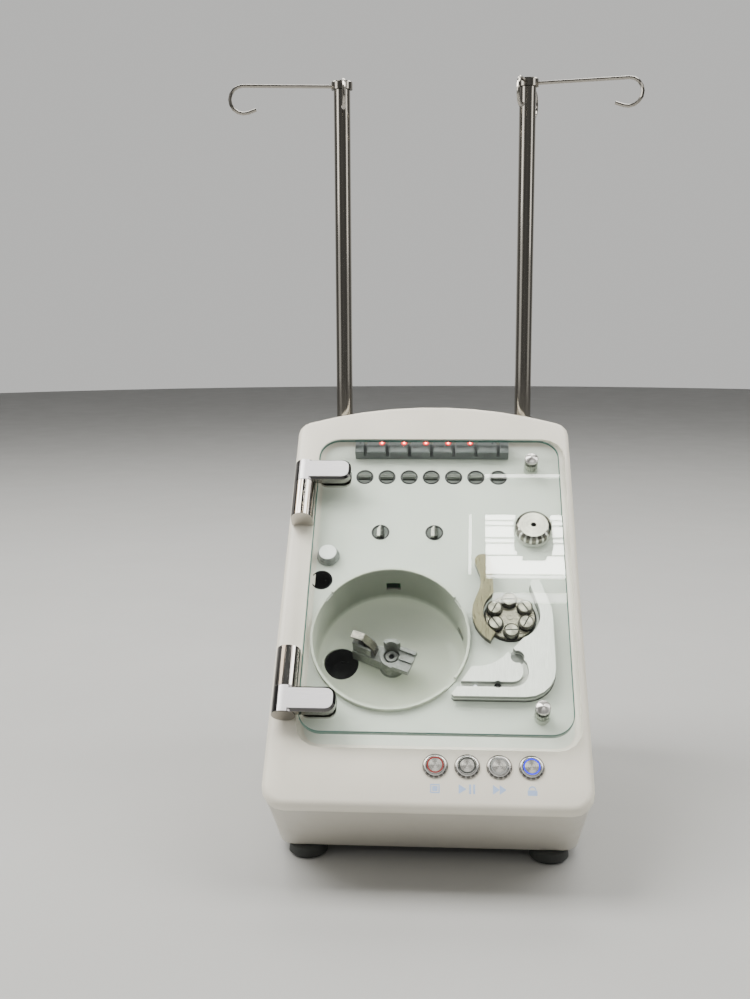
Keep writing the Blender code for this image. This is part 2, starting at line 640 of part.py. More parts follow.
def make_valves(face):
    manifold = [(-80, 246), (20, 246), (20, 300), (80, 300), (80, 344), (-80, 344)]
    block = piece("valve_block", prism(manifold, -50, -DECK_THICK - 1.5), "valve_metal", face)
    places = valve_places()
    join(block, merged(*[rod(TURRET_RADIUS, -12, -0.2, 20, place) for place in places]))
    half_u, half_v = BLADE
    blades = [(half_u, half_v)] * VALVE_COUNT + [(half_v, half_u)] * len(LOOP_VALVES)
    pockets = [box(u - a - GAP, u + a + GAP, v - b - GAP, v + b + GAP, -20, 20)
               for (u, v), (a, b) in zip(places, blades)]
    cut(block, merged(*pockets))
    for number, (u, v) in enumerate(places[:VALVE_COUNT], 1):
        pivot = empty(f"pinch_{number}_pivot", (u, v, 0), face)
        section = [(v - half_v, -15), (v + half_v, -15), (v + half_v, ROW_BLADE_N - 1.2),
                   (v + 1.6, ROW_BLADE_N), (v - 1.6, ROW_BLADE_N), (v - half_v, ROW_BLADE_N - 1.2)]
        points, faces = prism(section, u - half_u, u + half_u)
        piece(f"pinch_plunger_{number}", ([(x, y, n) for y, n, x in points], faces), "valve_metal", pivot)
    for number, (u, v) in enumerate(LOOP_VALVES, 1):
        pivot = empty(f"loop_{number}_pivot", (u, v, 0), face)
        outline = [(u - half_v, v - half_u), (u + half_v, v - half_u), (u + half_v, v + half_u - 4),
                   (u, v + half_u), (u - half_v, v + half_u - 4)]
        piece(f"loop_plunger_{number}", prism(outline, -15, LOOP_BLADE_N), "valve_metal", pivot)


def make_sensors(face):
    u0, u1, v0, v1 = SENSOR_BLOCK
    block = piece("sensor_block", box(u0, u1, v0, v1, GAP, SENSOR_BLOCK_N), "dark_grey", face)
    notches = [box(u - NOTCH_WIDTH / 2, u + NOTCH_WIDTH / 2, v0 - 5, v1 + 5, NOTCH_FLOOR_N, 20)
               for u, _ in valve_places()[:VALVE_COUNT]]
    cut(block, merged(*notches))

    profile = [(2.4, 7.0), (2.4, 13.0), (14.1, 13.0), (17.2, 11.2), (17.6, 10.4), (17.6, 5.0), (16.6, 4.4),
               (18.2, 4.0), (18.2, GAP), (0, GAP), (0, 7.0)]
    piece("pressure_sensor", turned(profile, 32, PRESSURE_SENSOR), "stainless", face)
    profile = [(0, GAP), (11.2, GAP), (11.2, 1.2), (8.9, 8.0), (8.2, 8.6), (0, 8.6)]
    piece("locating_stud", turned(profile, 24, LOCATING_STUD), "silver_plastic", face)


# ---------------------------------------------------------------- glass door and hinges

def make_door(face):
    pivot = empty("door_pivot", (HINGE_U, 0, HINGE_N), face)
    low, high = GLASS_N
    glass = piece("glass_door", prism(rounded(*GLASS, GLASS_CORNER, 5), low, high), "glass", pivot)
    cut(glass, merged(*[rod(3.3, low - 5, high + 5, 16, (STUD_U, v)) for v in STUD_V.values()]))

    for side, hinge in (("upper", UPPER_HINGE), ("lower", LOWER_HINGE)):
        make_hinge(side, hinge, face, pivot)
        v = STUD_V[side]
        stud = [(0, 6.5), (STUD_RADIUS, 6.5), (STUD_RADIUS, low - GAP), (3.0, low - GAP), (3.0, high + GAP),
                (STUD_RADIUS, high + GAP), (STUD_RADIUS, 24.4), (STUD_RADIUS - 2.2, 25.6), (0, 25.6)]
        piece(f"door_stud_{side}", turned(stud, 24, (STUD_U, v)), "stainless", pivot)
        piece(f"door_catch_{side}", rod(STUD_RADIUS + 0.3, GAP, 6.5 - GAP, 24, (STUD_U, v)), "deck", face)


def make_hinge(side, hinge, face, pivot):
    """One hinge: a fixed knuckle with its pin, and a leaf and clamp that grip the glass."""
    start, end = hinge["fixed"]
    circle_part = arc((HINGE_U, HINGE_N), KNUCKLE_RADIUS, -10, 190, 16)
    section = circle_part + [(HINGE_U - KNUCKLE_RADIUS, RIM_N + GAP), (HINGE_U + KNUCKLE_RADIUS, RIM_N + GAP)]
    points, faces = prism(section, start, end)
    knuckle = piece(f"hinge_knuckle_{side}", ([(u, v, n) for u, n, v in points], faces), "stainless", face)
    moving_start, moving_end = hinge["moving"]
    pin_low, pin_high = (end - 5, end + 18) if moving_start > start else (start - 18, start + 5)
    join(knuckle, along_v(rod(PIN_RADIUS, pin_low, pin_high, 20), HINGE_U, HINGE_N))

    leaf_low, leaf_high = hinge["leaf"]
    bottom = GLASS_N[1] + GAP

    def leaf_outline(inset=0.0):
        low_end = arc((LEAF_END_U - 9, leaf_low + 9), 9 - inset, 270, 360, 4)
        high_end = arc((LEAF_END_U - 9, leaf_high - 9), 9 - inset, 0, 90, 4)
        return [(HINGE_U + 1, leaf_low + inset)] + low_end + high_end + [(HINGE_U + 1, leaf_high - inset)]

    barrel = along_v(rod(KNUCKLE_RADIUS, moving_start, moving_end, 32), HINGE_U, HINGE_N)
    leaf = piece(f"hinge_leaf_{side}", barrel, "stainless", pivot)
    join(leaf, stepped([(leaf_outline(), bottom), (leaf_outline(), LEAF_TOP_N - 2.6),
                        (leaf_outline(2.6), LEAF_TOP_N)]))
    bore = (moving_start - 2, pin_high + 2) if moving_start > start else (pin_low - 2, moving_end + 2)
    cut(leaf, along_v(rod(PIN_RADIUS + GAP, *bore, 20), HINGE_U, HINGE_N))

    clamp_outline = rounded(-112.0, LEAF_END_U, leaf_low, leaf_high, 8)
    piece(f"hinge_clamp_{side}", prism(clamp_outline, GLASS_N[0] - 3.3, GLASS_N[0] - GAP), "stainless", pivot)


def make_buttons(face):
    for number, u in enumerate(BUTTON_U, 1):
        pivot = empty(f"button_{number}_pivot", (u, BUTTON_V, 0), face)
        profile = [(0, 0.5), (BUTTON_RADIUS, 0.5), (BUTTON_RADIUS, BUTTON_TOP_N - 0.5),
                   (BUTTON_RADIUS - 0.5, BUTTON_TOP_N), (0, BUTTON_TOP_N)]
        piece(f"button_{number}", turned(profile, 24, (u, BUTTON_V)), "stainless", pivot)


# ---------------------------------------------------------------- bag poles

def hook_path(angle, reach):
    """Centre line of one wire hook: out from the collar, over, down and back under itself."""
    bend = arc((reach - WIRE_RADIUS - HOOK_BEND, HOOK_Z - HOOK_BEND), HOOK_BEND, 90, -110, 9)
    end, height = bend[-1]
    rise = math.radians(20)
    tail = (end - HOOK_TAIL * math.cos(rise), height + HOOK_TAIL * math.sin(rise))
    line = [(COLLAR_RADIUS - 4, HOOK_Z)] + bend + [tail]
    c, s = math.cos(math.radians(angle)), math.sin(math.radians(angle))
    return [(out * c, out * s, height) for out, height in line], (-s, c, 0.0)


def wire(path, side):
    """A tube along a path that stays in the plane square to side."""
    rings = []
    for k, point in enumerate(path):
        before, after = path[max(k - 1, 0)], path[min(k + 1, len(path) - 1)]
        along = [b - a for a, b in zip(before, after)]
        length = math.sqrt(sum(c * c for c in along))
        along = [c / length for c in along]
        up = Vector(along).cross(Vector(side))
        rings.append([tuple(p + WIRE_RADIUS * (x * s + y * t) for p, s, t in zip(point, side, up))
                      for x, y in circle((0, 0), 1.0, 8)])
    return loft(rings)


def make_poles(floor):
    for side, sign in (("left", -1), ("right", 1)):
        centre = (sign * POLE_X, POLE_Y)
        top = COLLAR_Z[1] - 4.0
        low, high = COLLAR_Z
        profile = [(0, POLE_LOW_Z), (POLE_RADIUS, POLE_LOW_Z), (POLE_RADIUS, low - GAP), (5.5, low - GAP),
                   (5.5, top), (0, top)]
        piece(f"bag_pole_{side}", turned(profile, 24, centre), "stainless", floor)
        swivel = empty(f"head_{side}_pivot", (*centre, 0), floor)
        cap = [(5.8, low), (COLLAR_RADIUS, low), (COLLAR_RADIUS, high - 1), (COLLAR_RADIUS - 1, high),
               (0, high), (0, top + GAP), (5.8, top + GAP)]
        head = piece(f"hook_head_{side}", turned(cap, 24), "stainless", swivel)
        head.location = (0, 0, 0)
        first = 180 if sign < 0 else 0
        for quarter, reach in HOOK_REACH.items():
            path, across = hook_path(first + quarter + HEAD_TURN[side], reach)
            hook = mesh_object(f"hook_{side}_{quarter}", wire(path, across), swivel)
            hook.location = (0, 0, 0)
            hide_helper(hook)
            combine(head, "UNION", tool=hook)


# ---------------------------------------------------------------- whole

def centre_on_bench(root):
    """Moves the whole so that the middle of its footprint box is at the origin."""
    bpy.context.view_layer.update()
    graph = bpy.context.evaluated_depsgraph_get()
    xs, ys = [], []
    for obj in bpy.data.objects:
        if obj.type != "MESH" or obj.hide_render:
            continue
        solid = obj.evaluated_get(graph)
        mesh = solid.to_mesh()
        for vertex in mesh.vertices:
            place = solid.matrix_world @ vertex.co
            xs.append(place.x)
            ys.append(place.y)
        solid.to_mesh_clear()
    root.location.x -= (min(xs) + max(xs)) / 2
    root.location.y -= (min(ys) + max(ys)) / 2
    bpy.context.view_layer.update()


def main():
    clear_scene()
    floor = empty("instrument")
    face = empty("face_frame", (0, 0, FACE_RISE), floor, (SLOPE, 0, 0))
    make_housing(floor, face)
    make_sheets(floor, face)
    make_feet(floor)
    make_rear_fittings(floor)
    make_deck(face)
    make_chamber(face)
    make_arm(face)
    make_pump(face)
    make_track(face)
    make_shoe(face)
    make_valves(face)
    make_sensors(face)
    make_door(face)
    make_buttons(face)
    make_poles(floor)
    centre_on_bench(floor)


main()
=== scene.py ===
"""Looks of the benchtop cell processor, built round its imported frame.

Places on the sloping face are in millimetres as (u, v, n): u to the right, v up the slope and
n out of the deck. Places on the back are in the floor frame. Meshes are made in metres.
"""

import json
import math

import bmesh
import bpy
from mathutils import Matrix, Vector


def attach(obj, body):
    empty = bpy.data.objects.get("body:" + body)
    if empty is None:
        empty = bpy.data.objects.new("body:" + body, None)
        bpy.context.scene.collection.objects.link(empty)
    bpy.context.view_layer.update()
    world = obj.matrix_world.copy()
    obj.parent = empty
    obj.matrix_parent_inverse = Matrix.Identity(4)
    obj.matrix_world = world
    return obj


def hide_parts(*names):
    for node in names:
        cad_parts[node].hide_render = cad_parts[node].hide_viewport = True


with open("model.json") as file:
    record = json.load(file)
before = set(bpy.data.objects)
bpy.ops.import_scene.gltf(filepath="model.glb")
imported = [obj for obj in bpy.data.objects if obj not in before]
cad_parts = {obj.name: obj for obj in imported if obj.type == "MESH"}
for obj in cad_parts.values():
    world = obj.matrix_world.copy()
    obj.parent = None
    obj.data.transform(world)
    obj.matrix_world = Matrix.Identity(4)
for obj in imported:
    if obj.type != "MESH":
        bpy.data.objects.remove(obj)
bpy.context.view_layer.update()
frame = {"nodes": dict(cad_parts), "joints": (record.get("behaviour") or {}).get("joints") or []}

MM = 0.001
SLOPE = math.radians(45)
WELD = 2e-6  # metres
BEVEL_ANGLE = 32.0

CHAMBER = (-36.1, 146.6)
ROTOR = (74.5, 168.4)
ROLLER_PITCH_RADIUS = 16.2
ROLLER_PHASE = 92.5
ROLLER_TOP_N = 8.9
RIM_N = 8.0
RECESS = (-116.0, 134.0, 36.0, 376.0)
RECESS_CORNER = 22.0
GLASS = (-113.7, 126.8, 45.0, 365.4)
GLASS_CORNER = 21.0
GLASS_N = (14.5, 20.5)
STUDS = {"upper": (99.6, 340.0), "lower": (99.6, 70.0)}
VALVE_PITCH = 22.5
VALVES = [(-68.0 + VALVE_PITCH * k, 331.0) for k in range(7)] + [(-49.5, 263.7), (3.3, 263.7)]
SENSOR_BLOCK = (-78.5, 77.5, 353.6, 369.8)
SENSOR_BLOCK_N = 12.0  # its top
LAMP_V = 365.4
LIT_LAMPS = (-51.3, -28.6, -6.3, 16.2, 38.7)
DARK_LAMPS = (-73.5, 61.3)
PRESSURE_SENSOR = (99.1, 265.4)
TRACK_PORT = (61.6, 96.7)
TRACK_LAMP = (41.7, 96.9)
BUTTON_V = 20.8
ICON_V = 0.9
INK = 0.06  # thickness of printed marks
BUTTONS = {  # u, and the colour and glow of its ring
    1: (6.9, (0.26, 0.012, 0.01), 0.12),
    2: (34.1, (0.035, 0.04, 0.035), 0.0),
    3: (61.3, (0.30, 0.31, 0.30), 0.0),
    4: (88.7, (0.0, 0.0, 1.0), 0.95),
}

joints = {j["name"]: j["pos_m"] for j in frame["joints"] if j.get("pos_m")}
axis_point = joints["arm_spin"]
tilt = Matrix.Rotation(SLOPE, 4, "X")
ORIGIN = Vector(axis_point) - tilt @ (Vector((*CHAMBER, 0)) * MM)
FACE = Matrix.Translation(ORIGIN) @ tilt
CAMERA_PLACE = ORIGIN + Vector((0.0162, -0.9187, 0.409))
CAMERA_TURN = (9.66, -0.27, -3.68)  # degrees down, of roll and of yaw
CAMERA_LENS = 41.33

# The poles stand straight up; the rear cover's pieces are drawn with u to its right and v up.
POLES = {side: [c / MM for c in joints[f"head_{side}_turn"][:2]] for side in ("left", "right")}
SLEEVE_Z = 362.0
UPRIGHT = Matrix.Translation(Vector((0, 0, SLEEVE_Z)) * MM)
REAR_Y = 166.8
REAR = Matrix(((-1, 0, 0, 0), (0, 0, 1, REAR_Y * MM), (0, 1, 0, 0), (0, 0, 0, 1)))
COVER_SCREWS = [(u, v) for u in (-116.0, 114.0) for v in (28.0, 168.0, 306.0)]

# The slatted ceiling lamp that the glass mirrors, by where its slats show on the glass.
LOUVRE_HEIGHT = 2.4
LOUVRE_POWER = 175.0
LOUVRE_STRIP = 4.5  # height of the strips that a slat is cut into beside the pressure sensor
LOUVRE_CLEAR = (97.9, 238.0, 262.0, 18.6)  # where the sensor hides them: u, v from and to, radius
LOUVRES = (  # u from and to, v from and to, share of the power
    ((52.5, 128.0), (267.4, 273.0), 1.0), ((52.5, 128.0), (261.4, 265.6), 1.0),
    ((52.5, 128.0), (247.4, 259.6), 1.0), ((52.5, 128.0), (241.4, 245.4), 1.0),
    ((52.5, 128.0), (227.6, 239.6), 1.0), ((52.5, 128.0), (206.0, 225.8), 1.0),
    ((52.5, 128.0), (202.0, 204.6), 0.6), ((58.0, 128.0), (176.0, 186.0), 0.16),
    ((36.0, 39.5), (206.0, 273.0), 0.45), ((53.0, 127.0), (318.8, 322.0), 0.5),
)
LAMP_AIM = (0.0, 0.0, 0.25)
LAMPS = {  # place, width, height and power
    "ceiling_left": ((-1.5, 0.0, 2.4), 1.3, 2.0, 106), "ceiling_right": ((1.5, 0.0, 2.4), 1.3, 2.0, 58),
    "ceiling_rear": ((0.0, 1.8, 2.4), 2.6, 0.9, 40), "ceiling_front": ((0.3, -2.6, 2.1), 2.4, 0.8, 8),
    "left_soft": ((-2.0, -0.9, 1.3), 1.0, 1.2, 8), "right_soft": ((2.1, -0.7, 1.2), 0.8, 1.2, 5),
}

# Brightness of the room's walls by azimuth, as a share of a full turn, and of its ceiling.
WALLS = ((0.0, 0.14), (0.10, 0.10), (0.14, 0.9), (0.19, 0.9), (0.23, 0.10), (0.33, 0.20), (0.40, 0.62),
         (0.60, 0.62), (0.67, 0.16), (0.75, 0.10), (0.79, 0.7), (0.83, 0.7), (0.87, 0.10), (1.0, 0.14))
CEILING = (0.10, 0.10, 0.098, 1.0)
CEILING_FROM, CEILING_FULL = 0.35, 0.75  # z of the view direction
FLOOR_RADIUS = 6.0
FLOOR_Z = -0.0005


# ---------------------------------------------------------------- node materials

class Finish:
    """A material whose pattern is worked out in millimetres, in the face frame or the piece's own."""

    def __init__(self, name, colour, roughness, metallic=0.0, own_frame=False):
        self.material = bpy.data.materials.new(name)
        self.material.use_nodes = True
        self.tree = self.material.node_tree
        self.shader = self.tree.nodes["Principled BSDF"]
        self.colour = (*colour, 1.0)
        self.set("Base Color", self.colour)
        self.set("Roughness", roughness)
        self.set("Metallic", metallic)
        place = self.node("ShaderNodeTexCoord").outputs["Object"]
        mapping = self.node("ShaderNodeMapping", Vector=place, Scale=(1 / MM,) * 3)
        if not own_frame:
            mapping.inputs["Rotation"].default_value = (-SLOPE, 0, 0)
            mapping.inputs["Location"].default_value = -(tilt.inverted() @ ORIGIN) / MM
        self.place = mapping.outputs[0]

    def set(self, name, value):
        self.shader.inputs[name].default_value = value

    def link(self, name, socket):
        self.tree.links.new(socket, self.shader.inputs[name])

    def node(self, kind, _settings=None, **inputs):
        made = self.tree.nodes.new(kind)
        for key, value in (_settings or {}).items():
            setattr(made, key, value)
        for key, value in inputs.items():
            self.feed(made.inputs[key.replace("_", " ")], value)
        return made

    def feed(self, socket, value):
        if isinstance(value, bpy.types.NodeSocket):
            self.tree.links.new(value, socket)
        else:
            socket.default_value = value

    def math(self, operation, first, second=0.0, clamp=False):
        made = self.node("ShaderNodeMath", {"operation": operation, "use_clamp": clamp})
        self.feed(made.inputs[0], first)
        self.feed(made.inputs[1], second)
        return made.outputs[0]

    def noise(self, size, stretch=(1, 1, 1), detail=3.0, seed=0.0, sharp=0.5):
        """Noise whose blobs are about size mm across, longer along an axis by stretch."""
        scale = [1 / (size * s) for s in stretch]
        place = self.node("ShaderNodeMapping", Vector=self.place, Scale=scale,
                          Location=(seed, seed * 1.7, 0)).outputs[0]
        made = self.node("ShaderNodeTexNoise", Vector=place, Scale=1.0, Detail=detail, Roughness=sharp)
        return made.outputs["Fac"]

    def lines(self, value, detail):
        """Noise along one value alone."""
        made = self.node("ShaderNodeTexNoise", {"noise_dimensions": "1D"}, W=value, Scale=1.0, Detail=detail)
        return made.outputs["Fac"]

    def spread(self, value, low, high, start=0.3, end=0.7):
        """Maps a value from start..end to low..high."""
        made = self.node("ShaderNodeMapRange", Value=value)
        for k, number in enumerate((start, end, low, high), 1):
            self.feed(made.inputs[k], number)
        return made.outputs[0]

    def step(self, value, edge, soft=0.2):
        """0 below the edge and 1 above it."""
        return self.spread(value, 0.0, 1.0, edge - soft, edge + soft)

    def part(self, axis):
        return self.node("ShaderNodeSeparateXYZ", Vector=self.place).outputs["XYZ".index(axis)]

    def radius(self, centre=(0.0, 0.0)):
        flat = self.node("ShaderNodeMapping", Vector=self.place, Scale=(1, 1, 0),
                         Location=(-centre[0], -centre[1], 0))
        made = self.node("ShaderNodeVectorMath", {"operation": "LENGTH"}, Vector=flat.outputs[0])
        return made.outputs["Value"]

    def facing(self, along):
        """How squarely the surface faces along or against a direction of the face frame."""
        normal = self.node("ShaderNodeNewGeometry").outputs["Normal"]
        made = self.node("ShaderNodeVectorMath", {"operation": "DOT_PRODUCT"})
        self.feed(made.inputs[0], normal)
        self.feed(made.inputs[1], tilt @ Vector(along))
        return self.math("ABSOLUTE", made.outputs["Value"])

    def angle(self):
        parts = self.node("ShaderNodeSeparateXYZ", Vector=self.place).outputs
        return self.math("ARCTAN2", parts[1], parts[0])

    def reflection_fan(self, reflection_lobes, turn=0.0, sharp=1.0):
        """Sectors that go from 0 to 1 about the piece's own axis, where faced metal shows light and dark
        reflections; a mask for painted reflection.
        """
        wave = self.math("COSINE", self.math("MULTIPLY", self.math("SUBTRACT", self.angle(), turn), reflection_lobes))
        return self.math("POWER", self.spread(wave, 0, 1, -1, 1), sharp)

    def painted_highlight_ticks(self, count, reach):
        """1 on short bright marks round the lower half, below reach mm under the centre; a mask for painted
        highlights.
        """
        marks = self.step(self.math("COSINE", self.math("MULTIPLY", self.angle(), count)), 0.45, 0.35)
        low = self.step(self.math("MULTIPLY", self.part("Y"), -1.0), reach, reach * 0.4)
        return self.math("MULTIPLY", marks, low)

    def blend(self, share, first, second):
        made = self.node("ShaderNodeMix", {"data_type": "RGBA"})
        self.feed(made.inputs[0], share)
        for socket, colour in ((made.inputs[6], first), (made.inputs[7], second)):
            self.feed(socket, colour if isinstance(colour, bpy.types.NodeSocket) else (*colour[:3], 1.0))
        return made.outputs[2]

    def mottle(self, amount, size, seed=0.0, stretch=(1, 1, 1)):
        """Colour that wanders by this share of itself over patches of this size."""
        low = [c * (1 - amount) for c in self.colour[:3]]
        high = [min(c * (1 + amount), 1.0) for c in self.colour[:3]]
        share = self.spread(self.noise(size, stretch, seed=seed), 0, 1)
        mixed = self.blend(share, low, high)
        self.link("Base Color", mixed)
        return mixed

    def wear(self, low, high, size, stretch=(1, 1, 1), seed=3.0):
        """Roughness that wanders between two values."""
        self.link("Roughness", self.spread(self.noise(size, stretch, detail=5.0, seed=seed), low, high))

    def bump(self, height, depth, strength=1.0):
        made = self.node("ShaderNodeBump", Height=height, Distance=depth * MM, Strength=strength)
        self.link("Normal", made.outputs[0])

    def radial_brush(self, amount):
        self.set("Anisotropic", amount)
        tangent = self.node("ShaderNodeTangent", {"direction_type": "RADIAL", "axis": "Z"})
        self.link("Tangent", tangent.outputs[0])


def paint(name, colour, roughness=0.36, dirt=0.035):
    """Satin powder coat with a faint orange peel."""
    made = Finish(name, colour, roughness)
    made.mottle(dirt, 55.0)
    made.wear(roughness - 0.06, roughness + 0.1, 16.0)
    made.bump(made.noise(1.1, detail=2.0), 0.02, 0.35)
    return made


def moulding(name, colour, roughness=0.45, grain=0.6, depth=0.03):
    """Moulded plastic or rubber with a fine spark-eroded grain."""
    made = Finish(name, colour, roughness)
    made.mottle(0.10, 12.0, seed=4.0)
    made.wear(roughness - 0.08, roughness + 0.12, 7.0)
    made.bump(made.noise(grain, detail=2.0), depth, 0.6)
    return made


def cast(name, colour, roughness=0.5):
    """Bead-blasted casting."""
    made = Finish(name, colour, roughness, 0.85)
    made.mottle(0.16, 3.0)
    made.wear(roughness - 0.08, roughness + 0.14, 2.2)
    made.bump(made.noise(0.5, detail=4.0, sharp=0.65), 0.05, 0.7)
    return made


def polished(name, colour, roughness=0.13, along="Z", own_frame=False):
    """Polished stainless steel with faint drawn lines along one axis."""
    made = Finish(name, colour, roughness, 1.0, own_frame)
    stretch = [60.0 if letter == along else 1.0 for letter in "XYZ"]
    made.mottle(0.10, 0.9, stretch=stretch)
    made.wear(roughness * 0.6, roughness * 1.8, 0.8, stretch)
    made.bump(made.noise(0.7, stretch), 0.004, 0.5)
    return made


def brushed(name, colour, roughness=0.3, along="X", own_frame=False, length=40.0, metallic=1.0):
    """Satin metal with a brushed grain along one axis and a few longer scratches."""
    made = Finish(name, colour, roughness, metallic, own_frame)
    stretch = [length if letter == along else 1.0 for letter in "XYZ"]
    made.mottle(0.12, 0.45, stretch=stretch)
    made.wear(roughness - 0.08, roughness + 0.14, 0.35, stretch)
    made.bump(made.noise(0.4, stretch, detail=5.0), 0.01, 0.5)
    return made


def turned_metal(name, colour, roughness, pitch, brush=0.75, metallic=1.0, depth=0.3, turn=0.6, reflection_lobes=2):
    """Faced on a lathe: fine rings about the piece's own axis, with a painted reflection: the fan of light
    and dark sectors that faced metal spreads its reflections in is painted into the colour, darker by depth
    and turned by turn.
    """
    made = Finish(name, colour, roughness, metallic, own_frame=True)
    ring = made.lines(made.math("MULTIPLY", made.radius(), 1 / pitch), 4.0)
    # The radial streaks and the fan are painted reflection; the fine rings are the metal's own grain.
    streaks = made.lines(made.math("MULTIPLY", made.angle(), 7.0), 3.0)
    share = made.math("ADD", made.reflection_fan(reflection_lobes, turn), made.spread(streaks, -0.35, 0.35), clamp=True)
    share = made.math("MULTIPLY", share, made.spread(ring, 0.82, 1.0))
    made.link("Base Color", made.blend(share, [c * (1 - depth) for c in colour], colour))
    made.link("Roughness", made.spread(ring, roughness * 0.75, roughness * 1.35))
    made.bump(ring, 0.006, 0.6)
    made.radial_brush(brush)
    return made


def glow(name, colour, strength, halo=None):
    """A lit lens. With a halo radius in mm it is a painted glow instead, whose light fades out from the
    piece's own axis.
    """
    made = Finish(name, colour, 0.35, own_frame=True)
    made.mottle(0.08, 0.6)
    made.set("Emission Color", (*colour, 1.0))
    made.set("Emission Strength", strength)
    if halo:
        fade = made.spread(made.radius(), 1.0, 0.0, 0.25 * halo, halo)
        soft = made.math("POWER", fade, 2.2)
        made.link("Emission Strength", made.math("MULTIPLY", soft, strength))
    return made


def two_tone(finish, share, second, roughness=None):
    """Where share is 1 the finish takes the second colour and roughness."""
    shader = finish.shader
    first = shader.inputs["Base Color"].links[0].from_socket
    finish.link("Base Color", finish.blend(share, first, second))
    if roughness is not None:
        rough = shader.inputs["Roughness"].links[0].from_socket
        finish.link("Roughness", finish.node("ShaderNodeMix", {"data_type": "FLOAT"}, Factor=share, A=rough,
                                             B=roughness).outputs[0])
    return finish


def pane_glass():
    """Clear float glass that lets the lamps light what is behind it."""
    made = Finish("pane_glass", (0.965, 0.992, 0.978), 0.0)
    made.set("Transmission Weight", 1.0)
    made.set("IOR", 1.5)
    smears = made.spread(made.noise(22.0, (1, 3, 1), detail=4.0), 0.0, 0.012, 0.45, 0.8)
    made.link("Roughness", smears)
    path = made.node("ShaderNodeLightPath").outputs["Is Shadow Ray"]
    clear = made.node("ShaderNodeBsdfTransparent", Color=(0.96, 0.98, 0.965, 1.0)).outputs[0]
    mixed = made.node("ShaderNodeMixShader", Fac=path)
    made.tree.links.new(made.shader.outputs[0], mixed.inputs[1])
    made.tree.links.new(clear, mixed.inputs[2])
    made.tree.links.new(mixed.outputs[0], made.tree.nodes["Material Output"].inputs["Surface"])
    return made


def pane_edge():
    """Ground green edge of float glass, darker in its middle."""
    made = Finish("pane_edge", (0.015, 0.07, 0.06), 0.3)
    across = made.part("Z")
    middle = (GLASS_N[0] + GLASS_N[1]) / 2
    from_middle = made.math("ABSOLUTE", made.math("SUBTRACT", across, middle))
    streaks = made.noise(3.0, (6, 6, 0.3))
    share = made.spread(made.math("ADD", from_middle, made.math("MULTIPLY", streaks, 1.2)), 0, 1, 1.0, 3.6)
    made.link("Base Color", made.blend(share, (0.006, 0.035, 0.030), (0.055, 0.15, 0.125)))
    made.set("Coat Weight", 0.25)
    made.set("Coat Roughness", 0.05)
    made.bump(made.noise(0.8, (8, 8, 1)), 0.01, 0.4)
    return made


# ---------------------------------------------------------------- outlines and shapes, in mm

def arc(centre, radius, start, end, steps):
    turns = [math.radians(start + (end - start) * k / steps) for k in range(steps + 1)]
    return [(centre[0] + radius * math.cos(a), centre[1] + radius * math.sin(a)) for a in turns]


def circle(radius, steps=48, centre=(0.0, 0.0)):
    return arc(centre, radius, 0, 360, steps)[:-1]


def rounded(u0, u1, v0, v1, radius, steps=12):
    corners = (((u0 + radius, v0 + radius), 180), ((u1 - radius, v0 + radius), 270),
               ((u1 - radius, v1 - radius), 0), ((u0 + radius, v1 - radius), 90))
    return [p for centre, start in corners for p in arc(centre, radius, start, start + 90, steps)]


def grown(box, by, radius):
    """The box's rounded outline moved out by this much."""
    u0, u1, v0, v1 = box
    return rounded(u0 - by, u1 + by, v0 - by, v1 + by, radius + by)


def loft(rings, closed=False):
    """Skin over rings of equal length, with flat ends unless it closes on itself."""
    count = len(rings[0])
    points = [p for ring in rings for p in ring]
    faces = [] if closed else [tuple(range(count))[::-1], tuple(range(len(points) - count, len(points)))]
    spans = len(rings) if closed else len(rings) - 1
    for row in range(spans):
        low, high = row * count, (row + 1) % len(rings) * count
        for k in range(count):
            after = (k + 1) % count
            faces.append((low + k, low + after, high + after, high + k))
    return points, faces


def slab(outline, low, high, chamfer=0.0):
    """A plate with this outline; a chamfer narrows its upper edge towards the outline's middle."""
    rings = [[(x, y, low) for x, y in outline]]
    if chamfer:
        mx = sum(x for x, _ in outline) / len(outline)
        my = sum(y for _, y in outline) / len(outline)
        reach = max(math.hypot(x - mx, y - my) for x, y in outline)
        share = 1 - chamfer / reach
        rings.append([(x, y, high - chamfer) for x, y in outline])
        rings.append([(mx + (x - mx) * share, my + (y - my) * share, high) for x, y in outline])
    else:
        rings.append([(x, y, high) for x, y in outline])
    return loft(rings)


def turned(profile, steps=64):
    """A (radius, n) profile turned about n: a ring, unless its radii start or end at 0."""
    rings = [[(x, y, n) for x, y in circle(max(r, 1e-4), steps)] for r, n in profile]
    return loft(rings, closed=profile[0][0] > 0 and profile[-1][0] > 0)


def swept(path, section):
    """A closed path in the face plane, swept by an (outward, n) section."""
    rings = []
    count = len(path)
    for k, (x, y) in enumerate(path):
        (x0, y0), (x1, y1) = path[k - 1], path[(k + 1) % count]
        length = math.hypot(x1 - x0, y1 - y0)
        out = ((y1 - y0) / length, -(x1 - x0) / length)
        rings.append([(x + out[0] * d, y + out[1] * d, n) for d, n in section])
    return loft(rings, closed=True)


def merged(*shapes):
    points, faces = [], []
    for more, their_faces in shapes:
        start = len(points)
        points += more
        faces += [tuple(start + k for k in face) for face in their_faces]
    return points, faces


def moved(shape, du=0.0, dv=0.0, dn=0.0, turn=0.0):
    points, faces = shape
    c, s = math.cos(math.radians(turn)), math.sin(math.radians(turn))
    return [(x * c - y * s + du, x * s + y * c + dv, n + dn) for x, y, n in points], faces


# ---------------------------------------------------------------- pieces

def soften(obj, width, angle=BEVEL_ANGLE):
    """Bevels the edges sharper than this angle."""
    edge = obj.modifiers.new("edge", "BEVEL")
    edge.width = width * MM
    edge.segments = 2
    edge.limit_method = "ANGLE"
    edge.angle_limit = math.radians(angle)
    edge.harden_normals = True


